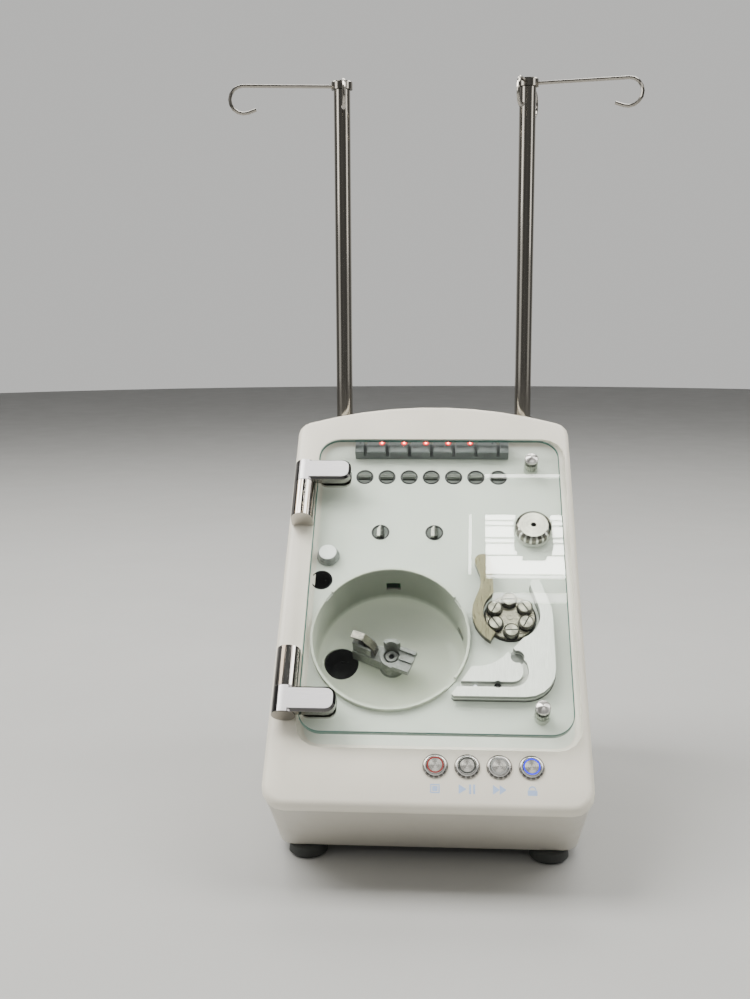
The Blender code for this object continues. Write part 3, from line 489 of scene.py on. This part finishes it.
def add(name, shape, finish, body, slot, at=(0.0, 0.0), bevel=0.0, matrix=FACE):
    """A piece drawn round the point at, that rides on a body."""
    points, faces = shape
    mesh = bpy.data.meshes.new(name)
    mesh.from_pydata([tuple(c * MM for c in p) for p in points], [], faces)
    bm = bmesh.new()
    bm.from_mesh(mesh)
    bmesh.ops.remove_doubles(bm, verts=bm.verts, dist=WELD)
    bmesh.ops.recalc_face_normals(bm, faces=bm.faces)
    bm.to_mesh(mesh)
    bm.free()
    mesh.shade_smooth()
    mesh.set_sharp_from_angle(angle=math.radians(35))
    piece = bpy.data.objects.new(name, mesh)
    bpy.context.scene.collection.objects.link(piece)
    piece.matrix_world = matrix @ Matrix.Translation(Vector((*at, 0.0)) * MM)
    mesh.materials.append(finish.material)
    if bevel:
        soften(piece, bevel)
    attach(piece, body)
    return piece


def dress(node, finish, bevel=0.0, angle=BEVEL_ANGLE):
    """Gives a carried-over node its finish, smooth round faces and, if asked, softened edges."""
    obj = frame["nodes"][node]
    for place in obj.material_slots:
        place.material = finish.material
    if "custom_normal" in obj.data.attributes:
        obj.data.attributes.remove(obj.data.attributes["custom_normal"])
    obj.data.shade_smooth()
    weld = obj.modifiers.new("weld", "WELD")
    weld.merge_threshold = WELD
    if bevel:
        plain = obj.modifiers.new("plain", "DECIMATE")
        plain.decimate_type = "DISSOLVE"
        plain.angle_limit = math.radians(1.0)
        soften(obj, bevel, angle)
    else:
        split = obj.modifiers.new("split", "EDGE_SPLIT")
        split.split_angle = math.radians(angle)


def dress_housing():
    """The shell, its sheets and feet, and what sits inside and at the rear."""
    white = paint("warm_white", (0.87, 0.825, 0.71))
    # Painted shade: the white is darker everywhere more than 2.9 mm below the deck, under the lip and on the
    # front panel.
    two_tone(white, white.spread(white.part("Z"), 1, 0, -2.9, -2.3), (0.63, 0.60, 0.525))
    for node in ("face_housing", "rear_cover"):
        dress(node, white)
    dress("deck_plate", paint("deck_grey_green", (0.60, 0.635, 0.57), 0.42))
    dress("base_plate", brushed("base_sheet", (0.55, 0.55, 0.54), 0.4))
    rubber = moulding("foot_rubber", (0.03, 0.033, 0.03), 0.6, 0.9, 0.05)
    for end in ("front", "rear"):
        for side in ("left", "right"):
            dress(f"foot_{end}_{side}", rubber)
    black = moulding("inlet_black", (0.02, 0.02, 0.021), 0.35)
    dress("power_inlet", black, 0.3)
    dress("power_switch", black, 0.3)
    dress("power_supply", brushed("supply_case", (0.6, 0.6, 0.59), 0.35))
    dress("control_board", moulding("board_green", (0.03, 0.2, 0.08), 0.35, 2.0))
    motor = brushed("motor_case", (0.5, 0.5, 0.5), 0.35, "Z")
    dress("centrifuge_motor", motor)
    dress("pump_motor", motor)
    dress("valve_block", brushed("valve_body", (0.115, 0.125, 0.115), 0.42, metallic=0.4))

    reach, height = 6.0, 6.1
    turns = [math.radians(a) for a in range(90, -1, -15)]
    curve = [(reach * (math.sin(a) - 1), height * (1 - math.cos(a)) + 0.1) for a in turns]
    fillet = [(0.25, RIM_N - 0.1)] + curve + [(-reach, 0.02), (0.25, 0.02)]
    add("recess_fillet", swept(grown(RECESS, 0.0, RECESS_CORNER), fillet), white, "housing", "face_housing")


def dress_chamber():
    """The bowl with its cup, the arm with its clip, and the tube port."""
    bowl = paint("bowl_grey", (0.56, 0.585, 0.50), 0.42, 0.05)
    # Painted shade: beyond radius 70.6 and below n 3.2 the bowl's wall darkens towards the top of the bowl.
    wall = bowl.math("MULTIPLY", bowl.step(bowl.radius(CHAMBER), 70.6, 0.8),
                     bowl.spread(bowl.part("Y"), 0, 1, CHAMBER[1] - 25.0, CHAMBER[1] + 60.0))
    wall = bowl.math("MULTIPLY", wall, bowl.math("SUBTRACT", 1.0, bowl.step(bowl.part("Z"), 3.2, 1.2)))
    two_tone(bowl, wall, (0.20, 0.215, 0.18))
    dress("chamber_bowl", bowl)
    black = moulding("gloss_black", (0.012, 0.012, 0.014), 0.16, 1.5, 0.01)
    dress("chamber_cup", black)
    dress("tube_port", black)
    dress("rotor_arm", cast("arm_cast", (0.26, 0.265, 0.255), 0.4), 0.5)
    dress("arm_clip", brushed("clip_steel", (0.27, 0.255, 0.22), 0.2, "Y"), 0.15)
    collar = [(4.4, -56.8), (12.5, -56.8), (12.5, -56.7), (4.4, -56.7)]
    grey = moulding("spindle_grey", (0.17, 0.18, 0.16))
    add("spindle_ring", turned(collar), grey, "housing", "chamber_bowl", CHAMBER)
    add("arm_screw_socket", slab(circle(2.7, 6), -39.9, -37.2), black, "arm", "rotor_arm", CHAMBER)


def roller_places():
    """Face places of the six rollers at rest."""
    turns = [math.radians(ROLLER_PHASE - 60 * k) for k in range(6)]
    return [(ROTOR[0] + ROLLER_PITCH_RADIUS * math.cos(a), ROTOR[1] + ROLLER_PITCH_RADIUS * math.sin(a))
            for a in turns]


def dress_pump():
    """The rotor with its spider and rollers, the track plate and the swinging shoe."""
    nickel = brushed("rotor_nickel", (0.50, 0.465, 0.37), 0.24, "X", metallic=0.85)
    dress("pump_rotor", brushed("rotor_disc", (0.13, 0.125, 0.11), 0.3, "X"))
    pocket, rim = 7.5, 22.6
    reach = math.degrees(math.acos((rim ** 2 + ROLLER_PITCH_RADIUS ** 2 - pocket ** 2)
                                   / (2 * rim * ROLLER_PITCH_RADIUS)))
    outline = []
    for k in range(6):
        turn = ROLLER_PHASE + 60 * k
        a = math.radians(turn)
        centre = (ROLLER_PITCH_RADIUS * math.cos(a), ROLLER_PITCH_RADIUS * math.sin(a))
        corner = (rim * math.cos(math.radians(turn - reach)), rim * math.sin(math.radians(turn - reach)))
        lean = math.degrees(math.atan2(corner[1] - centre[1], corner[0] - centre[0])) - turn
        lean = (lean + 180) % 360 - 180
        outline += arc(centre, pocket, turn + lean, turn - lean - 360, 18)
        outline += arc((0, 0), rim, turn + reach, turn + 60 - reach, 5)[1:-1]
    add("rotor_spider", slab(outline, 0.06, 3.4), nickel, "rotor", "pump_rotor", ROTOR, bevel=0.7)
    screw = [(0, 3.3), (3.2, 3.3), (3.2, 4.0), (2.8, 4.4), (1.5, 4.4), (1.5, 3.6), (0, 3.6)]
    add("rotor_centre_screw", turned(screw), nickel, "rotor", "pump_rotor", ROTOR)
    seat = moulding("gap_black", (0.01, 0.01, 0.01), 0.5)
    ring = [(23.5, -1.2), (24.6, -1.2), (24.6, 0.12), (23.5, 0.12)]
    add("rotor_seal", turned(ring), seat, "housing", "deck_plate", ROTOR)

    shaft = polished("roller_steel", (0.17, 0.16, 0.135), 0.16, "Z")
    head = turned_metal("roller_face", (0.74, 0.70, 0.57), 0.28, 0.35, metallic=0.55, depth=0.6)
    two_tone(head, head.step(head.radius(), 5.6, 0.25), (0.07, 0.065, 0.055))
    slot = [(-5.6, -0.58), (5.6, -0.58), (5.6, 0.58), (-5.6, 0.58)]
    for number, place in enumerate(roller_places(), 1):
        dress(f"pump_roller_{number}", shaft, 0.12)
        tangent = ROLLER_PHASE + 90 - 60 * (number - 1)
        half = arc((0, 0), 6.1, 6.5, 173.5, 20)
        caps = merged(slab(half, ROLLER_TOP_N + 0.01, ROLLER_TOP_N + 0.06),
                      moved(slab(half, ROLLER_TOP_N + 0.01, ROLLER_TOP_N + 0.06), turn=180))
        body, node = f"roller_{number}", f"pump_roller_{number}"
        add(f"roller_face_{number}", moved(caps, turn=tangent), head, body, node, place)
        add(f"roller_slot_{number}", moved(slab(slot, 7.92, 8.6), turn=tangent), seat, body, node, place)

    satin = brushed("track_satin", (0.84, 0.85, 0.80), 0.4, "Y", length=25.0, metallic=0.3)
    scratches = satin.noise(1.6, (1, 14, 1), detail=6.0, seed=9.0, sharp=0.7)
    two_tone(satin, satin.spread(scratches, 0, 0.5, 0.62, 0.72), (0.97, 0.97, 0.95))
    # Painted shade: the side walls between n 4.7 and 9.3 and the plate's foot below n 3.4 are darker.
    height = satin.part("Z")
    side = satin.math("MULTIPLY", satin.step(height, 4.7, 0.3), satin.spread(height, 1, 0, 9.3, 9.6))
    side = satin.math("MAXIMUM", side, satin.spread(height, 1, 0, 3.2, 3.6))
    two_tone(satin, side, (0.26, 0.27, 0.25))
    dress("pump_track", satin, 0.45)
    tip = arc((98.6, 200.8), 5.0, 190, 15, 5)
    corner = arc((85.8, 112.3), 27.5, 0, -90, 8)
    outline = (tip + [(112.8, 174.5), (113.3, 160.0)] + corner + [(22.5, 84.8), (20.6, 86.6), (38.4, 113.9)]
               + arc((42.0, 150.0), 36.0, -78, -36, 6) + [(77.6, 134.2)] + arc(ROTOR, 27.5, -66, 20, 12))
    # A near-black band on the deck round the track's edge: painted shade in the gap under the plate.
    shade_band = [(-0.9, 0.03), (0.5, 0.03), (0.5, 0.26), (-0.9, 0.26)]
    add("track_gap_shade", swept(outline[::-1], shade_band), seat, "housing", "pump_track")
    gold = brushed("shoe_champagne", (0.27, 0.245, 0.16), 0.3, "Y", length=30.0)
    # Painted shade: the shoe is darker below n 11.85, on its side walls.
    two_tone(gold, gold.spread(gold.part("Z"), 1, 0, 11.7, 12.0), (0.05, 0.046, 0.032))
    dress("pump_shoe", gold, 0.5)
    port = [(1.3, 3.6), (1.3, 4.5), (2.1, 4.9), (3.3, 4.9), (3.3, 3.6)]
    add("track_sensor_port", turned(port), seat, "housing", "pump_track", TRACK_PORT)
    lens = [(0, 3.7), (1.2, 3.7), (1.2, 4.3), (0, 4.45)]
    grey = moulding("lens_grey", (0.2, 0.2, 0.2), 0.15)
    add("track_sensor_lens", turned(lens), grey, "housing", "pump_track", TRACK_PORT)
    bulb = [(0, 4.02), (1.6, 4.02), (1.5, 4.5), (0.9, 4.9), (0, 5.0)]
    white = glow("lamp_white", (0.9, 0.92, 1.0), 1.6)
    add("track_lamp", turned(bulb), white, "housing", "pump_track", TRACK_LAMP)


def dress_valves():
    """The plungers and the near-black rings round them, painted shade of the gap at each plunger; the loop
    plungers get a painted highlight on one flank, as in the photograph.
    """
    turret = brushed("plunger_satin", (0.15, 0.158, 0.14), 0.3, "X", metallic=0.8)
    for number in range(1, 8):
        dress(f"pinch_plunger_{number}", turret, 0.25)
    for number in (1, 2):
        middle = VALVES[6 + number][0]
        blade = brushed(f"plunger_split_{number}", (0.07, 0.073, 0.065), 0.3, "X", metallic=0.8)
        # Painted highlight on one flank of each loop plunger's blade.
        lit = blade.math("MULTIPLY", blade.spread(blade.part("X"), 1, 0, middle - 0.2, middle + 0.2),
                         blade.spread(blade.part("X"), 0, 1, middle - 3.4, middle - 3.0))
        lit = blade.math("MULTIPLY", lit, blade.spread(blade.part("Z"), 0, 1, 0.6, 1.0))
        two_tone(blade, lit, (0.72, 0.71, 0.64))
        dress(f"loop_plunger_{number}", blade, 0.25)
    # A near-black ring round each plunger: painted shade of the gap between plunger and deck.
    valve_gap_shade = moulding("valve_gap_shade_black", (0.012, 0.012, 0.012), 0.42)
    ring = [(7.15, -1.2), (8.9, -1.2), (8.9, 0.1), (8.2, 0.45), (7.15, 0.2)]
    valve_gap_shades = merged(*[moved(turned(ring, 48), *place) for place in VALVES])
    add("valve_gap_shade_rings", valve_gap_shades, valve_gap_shade, "housing", "valve_block")


def dress_sensors():
    """The tube sensors with their lamps, the pressure sensor and the locating stud."""
    block = moulding("sensor_grey", (0.10, 0.112, 0.11), 0.42, 0.5)
    dress("sensor_block", block, 0.35)
    bottom, top = SENSOR_BLOCK[2:]
    level = SENSOR_BLOCK_N
    # Near-black marks: strips along the block's back top edge, painted shade of the gap behind it, and the
    # lenses of the dark lamps.
    dark = moulding("sensor_black", (0.012, 0.013, 0.014), 0.4)
    shade_strips_and_dark_lamps = []
    for k in range(2, 6):
        middle = VALVES[k][0] + VALVE_PITCH / 2
        shade_strip = rounded(middle - 9.0, middle + 9.0, top - 1.7, top - 0.5, 0.5, 4)
        shade_strips_and_dark_lamps.append(slab(shade_strip, level, level + 0.06))
    shade_strips_and_dark_lamps += [slab(circle(1.1, 20, (u, LAMP_V)), level, level + 0.08) for u in DARK_LAMPS]
    add("sensor_shade_strips_and_dark_lamps", merged(*shade_strips_and_dark_lamps), dark, "housing", "sensor_block")
    shells = []
    for k in range(6):
        middle = VALVES[k][0] + VALVE_PITCH / 2
        window = rounded(middle - 8.4, middle + 8.4, bottom + 1.2, LAMP_V - 2.2, 1.0, 4)
        shells.append(slab(window, level, level + 0.22, 0.15))
    panel = moulding("sensor_panel", (0.125, 0.138, 0.136), 0.45)
    add("sensor_windows", merged(*shells), panel, "housing", "sensor_block")
    lens = glow("lamp_red", (1.0, 0.16, 0.12), 30.0)
    # The halo is a painted glow: a thin disc round each lit lamp that glows with the lamp's light.
    halo = glow("lamp_red_halo", (0.8, 0.03, 0.025), 5.0, halo=3.2)
    for number, u in enumerate(LIT_LAMPS, 1):
        ring = [(0, level + 0.23), (3.2, level + 0.23), (3.2, level + 0.27), (0, level + 0.27)]
        bulb = [(0, level + 0.05), (1.15, level + 0.05), (0.9, level + 0.5), (0, level + 0.65)]
        place = (u, LAMP_V)
        add(f"sensor_halo_{number}", turned(ring, 32), halo, "housing", "sensor_block", place)
        add(f"sensor_lamp_{number}", turned(bulb, 24), lens, "housing", "sensor_block", place)

    chrome = polished("sensor_chrome", (0.22, 0.205, 0.18), 0.12, "Z", own_frame=True)
    # Painted highlights: bright ticks round the lower half of the chrome.
    two_tone(chrome, chrome.painted_highlight_ticks(18, 6.0), (0.95, 0.93, 0.88))
    place = ("housing", "pressure_sensor", PRESSURE_SENSOR)
    body = [(2.4, 7.0), (2.4, 12.6), (2.7, 13.0), (14.0, 13.0), (14.3, 12.8), (17.1, 11.2), (17.6, 10.3),
            (17.6, 5.0), (17.2, 4.5), (17.2, 0.4), (1.0, 0.4), (1.0, 7.0)]
    shown = add("pressure_sensor_body", turned(body, 96), chrome, *place)
    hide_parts("pressure_sensor")
    # A pale ring round the chrome body's foot: painted reflection of the body in the deck.
    ring = [(17.25, 0.3), (18.2, 0.3), (18.2, 3.4), (17.8, 4.0), (17.25, 4.0)]
    add("pressure_sensor_reflection_ring", turned(ring, 96), paint("sensor_reflection_pale", (0.62, 0.64, 0.58)), *place)
    disc = [(2.7, 13.01), (13.9, 13.01), (13.9, 13.07), (2.7, 13.07)]
    cream = turned_metal("sensor_disc", (0.95, 0.91, 0.79), 0.3, 0.4, metallic=0.4, depth=0.22)
    add("pressure_sensor_disc", turned(disc, 96), cream, *place)
    bore = [(0, 7.1), (2.38, 7.1), (2.38, 12.3), (2.2, 12.3), (2.2, 7.3), (0, 7.3)]
    add("pressure_sensor_bore", turned(bore, 32), moulding("bore_black", (0.01, 0.01, 0.01), 0.5), *place)

    silver = moulding("stud_silver", (0.20, 0.21, 0.205), 0.3)
    silver.set("Metallic", 0.35)
    two_tone(silver, silver.step(silver.part("Z"), 8.4, 0.1), (0.78, 0.79, 0.77), 0.4)
    dress("locating_stud", silver, 0.3)


def dress_door():
    """The pane with its green edge, the hinges, and the studs through the pane."""
    edge, glass = pane_edge(), pane_glass()
    low, high = GLASS_N
    levels = ((low, -0.7), (low + 0.7, 0.0), (high - 0.7, 0.0), (high, -0.7))
    rings = [[(x, y, n) for x, y in grown(GLASS, by, GLASS_CORNER)] for n, by in levels]
    pane = add("glass_pane", loft(rings), glass, "door", "glass_door")
    pane.data.materials.append(edge.material)
    for face in pane.data.polygons:
        face.material_index = 0 if abs(face.normal.z) > 0.9 else 1
    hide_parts("glass_door")

    chrome = polished("hinge_chrome", (0.52, 0.50, 0.475), 0.09, "Y")
    # Painted reflection: dark streaks along the round faces of the knuckles and clamps.
    streaks = chrome.noise(2.6, (1, 60, 1), detail=2.0, seed=5.0)
    round_part = chrome.spread(chrome.facing((0, 1, 0)), 1, 0, 0.3, 0.8)
    dark = chrome.math("MULTIPLY", chrome.spread(streaks, 0, 1, 0.42, 0.6), round_part)
    two_tone(chrome, dark, (0.13, 0.105, 0.08))
    plate = polished("hinge_leaf_metal", (0.30, 0.285, 0.27), 0.1, "Y")
    # Painted reflection: the chamfer round the leaf's top, between n 27.5 and 29.75, is painted dark.
    two_tone(plate, plate.step(plate.part("Z"), 27.5, 0.15), (0.13, 0.125, 0.125))
    grain = plate.spread(plate.noise(0.5, (40, 1, 1), detail=5.0, seed=6.0), 0.86, 0.97)
    green = plate.math("MULTIPLY", grain, 0.975)
    pale = plate.node("ShaderNodeCombineColor", Red=grain, Green=green, Blue=grain).outputs[0]
    two_tone(plate, plate.step(plate.part("Z"), 29.75, 0.12), pale, 0.42)
    plate.link("Metallic", plate.spread(plate.part("Z"), 1.0, 0.3, 29.6, 29.9))
    for side in ("upper", "lower"):
        dress(f"hinge_knuckle_{side}", chrome, 0.3)
        dress(f"hinge_leaf_{side}", plate, 0.25, 40.0)
        dress(f"hinge_clamp_{side}", chrome)
        dress(f"door_catch_{side}", paint(f"catch_{side}", (0.46, 0.49, 0.43)))

    barrel = polished("stud_barrel", (0.30, 0.31, 0.27), 0.22, "Z", own_frame=True)
    cone = turned_metal("stud_cap", (0.92, 0.90, 0.86), 0.16, 0.5, 0.6, metallic=0.7, depth=0.7, turn=1.9)
    for side, place in STUDS.items():
        lower = [(0, 6.5), (6.3, 6.5), (6.7, 6.9), (6.7, low - 0.3), (3.0, low - 0.3), (3.0, high + 0.4),
                 (0, high + 0.4)]
        shown = add(f"door_stud_{side}_barrel", turned(lower), barrel, "door", f"door_stud_{side}", place)
        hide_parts(f"door_stud_{side}")
        cap = [(0, high + 0.3), (6.3, high + 0.3), (6.7, high + 0.7), (6.7, 22.6), (6.3, 23.2), (5.6, 23.6),
               (0.6, 25.5), (0, 25.6)]
        add(f"door_stud_{side}_cap", turned(cap), cone, "door", f"door_stud_{side}", place)


def printed(outline):
    """A thin printed mark with this outline."""
    return slab(outline, 0, INK)


def play_triangle(u, width=6.6, half=4.2):
    return printed([(u, -half), (u + width, 0), (u, half)])


def icon_shapes():
    """Plain control marks: stop, play and pause, fast forward, and a padlock."""
    boxes = ((-4.0, 4.0, -4.0, -3.0), (-4.0, 4.0, 3.0, 4.0), (-4.0, -3.0, -3.0, 3.0), (3.0, 4.0, -3.0, 3.0),
             (-2.2, 2.2, -2.2, 2.2))
    stop = merged(*[printed(rounded(*box, 0.4, 3)) for box in boxes])
    bar = printed(rounded(-0.8, 0.8, -4.2, 4.2, 0.3, 3))
    play = merged(play_triangle(-7.2), moved(bar, 2.4), moved(bar, 5.8))
    forward = merged(play_triangle(-5.6, 5.6), play_triangle(0.0, 5.6))
    shackle = arc((0, 0.6), 3.2, 0, 180, 12) + arc((0, 0.6), 2.1, 180, 0, 12)
    lock = merged(printed(rounded(-4.0, 4.0, -4.6, 0.2, 0.8, 4)), printed(shackle))
    return stop, play, forward, lock


def dress_buttons():
    """Each button's head, its fixed bezel, its light ring and the mark printed below it."""
    bezel_metal = polished("bezel_chrome", (0.20, 0.19, 0.175), 0.14, "Z", own_frame=True)
    # Painted highlights: bright ticks round the lower half of each bezel.
    two_tone(bezel_metal, bezel_metal.painted_highlight_ticks(15, 3.5), (0.48, 0.47, 0.44))
    trim = turned_metal("bezel_ring_metal", (0.90, 0.89, 0.85), 0.2, 0.3, 0.5, metallic=0.6, depth=0.35)
    cap = turned_metal("button_face", (0.88, 0.86, 0.80), 0.24, 0.28, 0.85, metallic=0.6, depth=0.6, reflection_lobes=3)
    side = polished("button_side", (0.62, 0.61, 0.59), 0.12, "Z")
    ink = moulding("icon_blue", (0.42, 0.55, 0.82), 0.5)
    bezel = [(8.2, 8.05), (10.9, 8.05), (10.95, 8.6), (10.5, 9.3), (9.9, 9.75), (9.2, 9.9), (8.2, 9.9)]
    inner = [(8.22, 9.0), (9.25, 9.0), (9.2, 10.35), (8.9, 10.5), (8.22, 10.5)]
    for (number, (u, colour, strength)), shape in zip(BUTTONS.items(), icon_shapes()):
        place, body, slot = (u, BUTTON_V), f"push_{number}", f"button_{number}"
        dress(f"button_{number}", side)
        add(f"button_{number}_bezel", turned(bezel, 72), bezel_metal, "housing", slot, place)
        add(f"button_{number}_bezel_ring", turned(inner, 72), trim, "housing", slot, place)
        ring = [(6.1, 11.0), (7.25, 11.0), (7.2, 11.28), (6.15, 11.28)]
        lit = glow(f"button_ring_{number}", colour, strength)
        add(f"button_{number}_light_ring", turned(ring, 72), lit, body, slot, place)
        face = [(0, 11.02), (6.0, 11.02), (5.95, 11.2), (0, 11.32)]
        add(f"button_{number}_face", turned(face, 72), cap, body, slot, place)
        mark = moved(shape, dn=RIM_N)
        add(f"button_{number}_icon", mark, ink, "housing", "face_housing", (u, ICON_V))


def dress_rear():
    """Rubber sleeves round the poles, and the rear cover's screws."""
    rubber = moulding("sleeve_rubber", (0.03, 0.032, 0.03), 0.55, 0.9, 0.05)
    sleeve = [(8.8, -27.0), (10.8, -27.0), (10.8, 14.0), (10.2, 15.0), (8.8, 15.0)]
    for side, place in POLES.items():
        add(f"pole_sleeve_{side}", turned(sleeve, 48), rubber, "housing", "face_housing", place,
            matrix=UPRIGHT)
    zinc = turned_metal("screw_zinc", (0.66, 0.65, 0.62), 0.3, 0.4, 0.3, metallic=0.8, depth=0.35)
    head = [(0.0, 0.02), (3.4, 0.02), (3.4, 0.9), (2.6, 1.7), (1.5, 1.9), (1.5, 0.9), (0.0, 0.9)]
    for number, place in enumerate(COVER_SCREWS, 1):
        add(f"cover_screw_{number}", turned(head, 32), zinc, "housing", "rear_cover", place, matrix=REAR)


def dress_poles():
    """The poles and hook heads, whose drawn lines run straight up."""
    pole = polished("pole_steel", (0.40, 0.375, 0.335), 0.1)
    pole.tree.nodes["Mapping"].inputs["Rotation"].default_value = (0, 0, 0)
    for side in ("left", "right"):
        dress(f"bag_pole_{side}", pole)
        dress(f"hook_head_{side}", pole)


# ---------------------------------------------------------------- room, light and camera

def make_floor():
    made = Finish("floor_pale", (0.44, 0.44, 0.43), 0.6)
    made.mottle(0.02, 400.0)
    made.wear(0.5, 0.65, 90.0)
    mesh = bpy.data.meshes.new("floor")
    points = [(x, y, FLOOR_Z) for x, y in circle(FLOOR_RADIUS, 96)]
    mesh.from_pydata(points, [], [tuple(range(len(points)))])
    floor = bpy.data.objects.new("floor", mesh)
    bpy.context.scene.collection.objects.link(floor)
    mesh.materials.append(made.material)


def make_world():
    """A grey room with brighter and darker stretches of wall, and a dark ceiling for the glass to mirror."""
    world = bpy.data.worlds.new("room")
    bpy.context.scene.world = world
    world.use_nodes = True
    tree = world.node_tree
    background = tree.nodes["Background"]
    place = tree.nodes.new("ShaderNodeTexCoord")
    parts = tree.nodes.new("ShaderNodeSeparateXYZ")
    tree.links.new(place.outputs["Generated"], parts.inputs[0])
    azimuth = tree.nodes.new("ShaderNodeMath")
    azimuth.operation = "ARCTAN2"
    tree.links.new(parts.outputs["X"], azimuth.inputs[0])
    tree.links.new(parts.outputs["Y"], azimuth.inputs[1])
    share = tree.nodes.new("ShaderNodeMapRange")
    share.inputs["From Min"].default_value = -math.pi
    share.inputs["From Max"].default_value = math.pi
    tree.links.new(azimuth.outputs[0], share.inputs["Value"])
    ramp = tree.nodes.new("ShaderNodeValToRGB")
    for k, (where, value) in enumerate(WALLS):
        stop = ramp.color_ramp.elements[k] if k < 2 else ramp.color_ramp.elements.new(where)
        stop.position = where
        stop.color = (value, value * 0.995, value * 0.97, 1.0)
    tree.links.new(share.outputs[0], ramp.inputs[0])
    up = tree.nodes.new("ShaderNodeMapRange")
    up.inputs["From Min"].default_value = CEILING_FROM
    up.inputs["From Max"].default_value = CEILING_FULL
    tree.links.new(parts.outputs["Z"], up.inputs["Value"])
    mixed = tree.nodes.new("ShaderNodeMix")
    mixed.data_type = "RGBA"
    tree.links.new(up.outputs[0], mixed.inputs[0])
    tree.links.new(ramp.outputs[0], mixed.inputs[6])
    mixed.inputs[7].default_value = CEILING
    tree.links.new(mixed.outputs[2], background.inputs["Color"])
    background.inputs["Strength"].default_value = 1.0


def make_lamp(name, place, width, height, power, colour=(1.0, 0.985, 0.95), level=False):
    """An area lamp aimed at the object; a level one faces straight down with its width along X."""
    data = bpy.data.lights.new(name, "AREA")
    data.shape = "RECTANGLE"
    data.size, data.size_y = width, height
    data.energy = power
    data.color = colour
    lamp = bpy.data.objects.new(name, data)
    bpy.context.scene.collection.objects.link(lamp)
    lamp.location = place
    if not level:
        lamp.rotation_euler = (Vector(LAMP_AIM) - Vector(place)).to_track_quat("-Z", "Y").to_euler()
    lamp.visible_camera = False


def mirrored(u, v, height):
    """The point at this height that the glass mirrors to the camera at face place (u, v)."""
    spot = FACE @ (Vector((u, v, GLASS_N[1])) * MM)
    normal = (tilt @ Vector((0, 0, 1))).normalized()
    ray = spot - CAMERA_PLACE
    away = ray - 2 * ray.dot(normal) * normal
    return spot + away * ((height - spot.z) / away.z)


def louvre_parts():
    """The louvres, cut into narrow strips where they would shine across the pressure sensor."""
    u, v_low, v_high, radius = LOUVRE_CLEAR
    parts = []
    for (left, right), (low, high), share in LOUVRES:
        if right < u or high < v_low - radius or low > v_high + radius:
            parts.append(((left, right), (low, high), share))
            continue
        count = max(1, round((high - low) / LOUVRE_STRIP))
        for k in range(count):
            bottom, top = low + (high - low) * k / count, low + (high - low) * (k + 1) / count
            middle = (bottom + top) / 2
            off = middle - min(max(middle, v_low), v_high)
            if abs(off) >= radius:
                parts.append(((left, right), (bottom, top), share))
                continue
            half = math.sqrt(radius ** 2 - off ** 2)
            parts += [((left, u - half), (bottom, top), share)]
            if u + half < right - 0.5:
                parts += [((u + half, right), (bottom, top), share)]
    return parts


def make_lights():
    for name, lamp in LAMPS.items():
        make_lamp(name, *lamp)
    for k, ((left, right), (low, high), share) in enumerate(louvre_parts()):
        corner, opposite = mirrored(left, low, LOUVRE_HEIGHT), mirrored(right, high, LOUVRE_HEIGHT)
        width, depth = abs(opposite.x - corner.x), abs(opposite.y - corner.y)
        power = LOUVRE_POWER * share * width * depth
        make_lamp(f"louvre_{k}", (corner + opposite) / 2, width, depth, power, (1.0, 1.0, 0.93), level=True)


def make_camera():
    data = bpy.data.cameras.new("camera")
    data.sensor_width = 36.0
    data.lens = CAMERA_LENS
    camera = bpy.data.objects.new("camera", data)
    bpy.context.scene.collection.objects.link(camera)
    pitch, roll, yaw = (math.radians(a) for a in CAMERA_TURN)
    ahead = Vector((math.sin(yaw) * math.cos(pitch), math.cos(yaw) * math.cos(pitch), -math.sin(pitch)))
    right = Vector((math.cos(yaw), -math.sin(yaw), 0.0))
    up = right.cross(ahead)
    across = right * math.cos(roll) + up * math.sin(roll)
    rise = across.cross(ahead)
    place = Matrix((across, rise, -ahead)).transposed().to_4x4()
    place.translation = CAMERA_PLACE
    camera.matrix_world = place
    bpy.context.scene.camera = camera


dress_housing()
dress_chamber()
dress_pump()
dress_valves()
dress_sensors()
dress_door()
dress_buttons()
dress_poles()
dress_rear()
make_floor()
make_world()
make_lights()
make_camera()
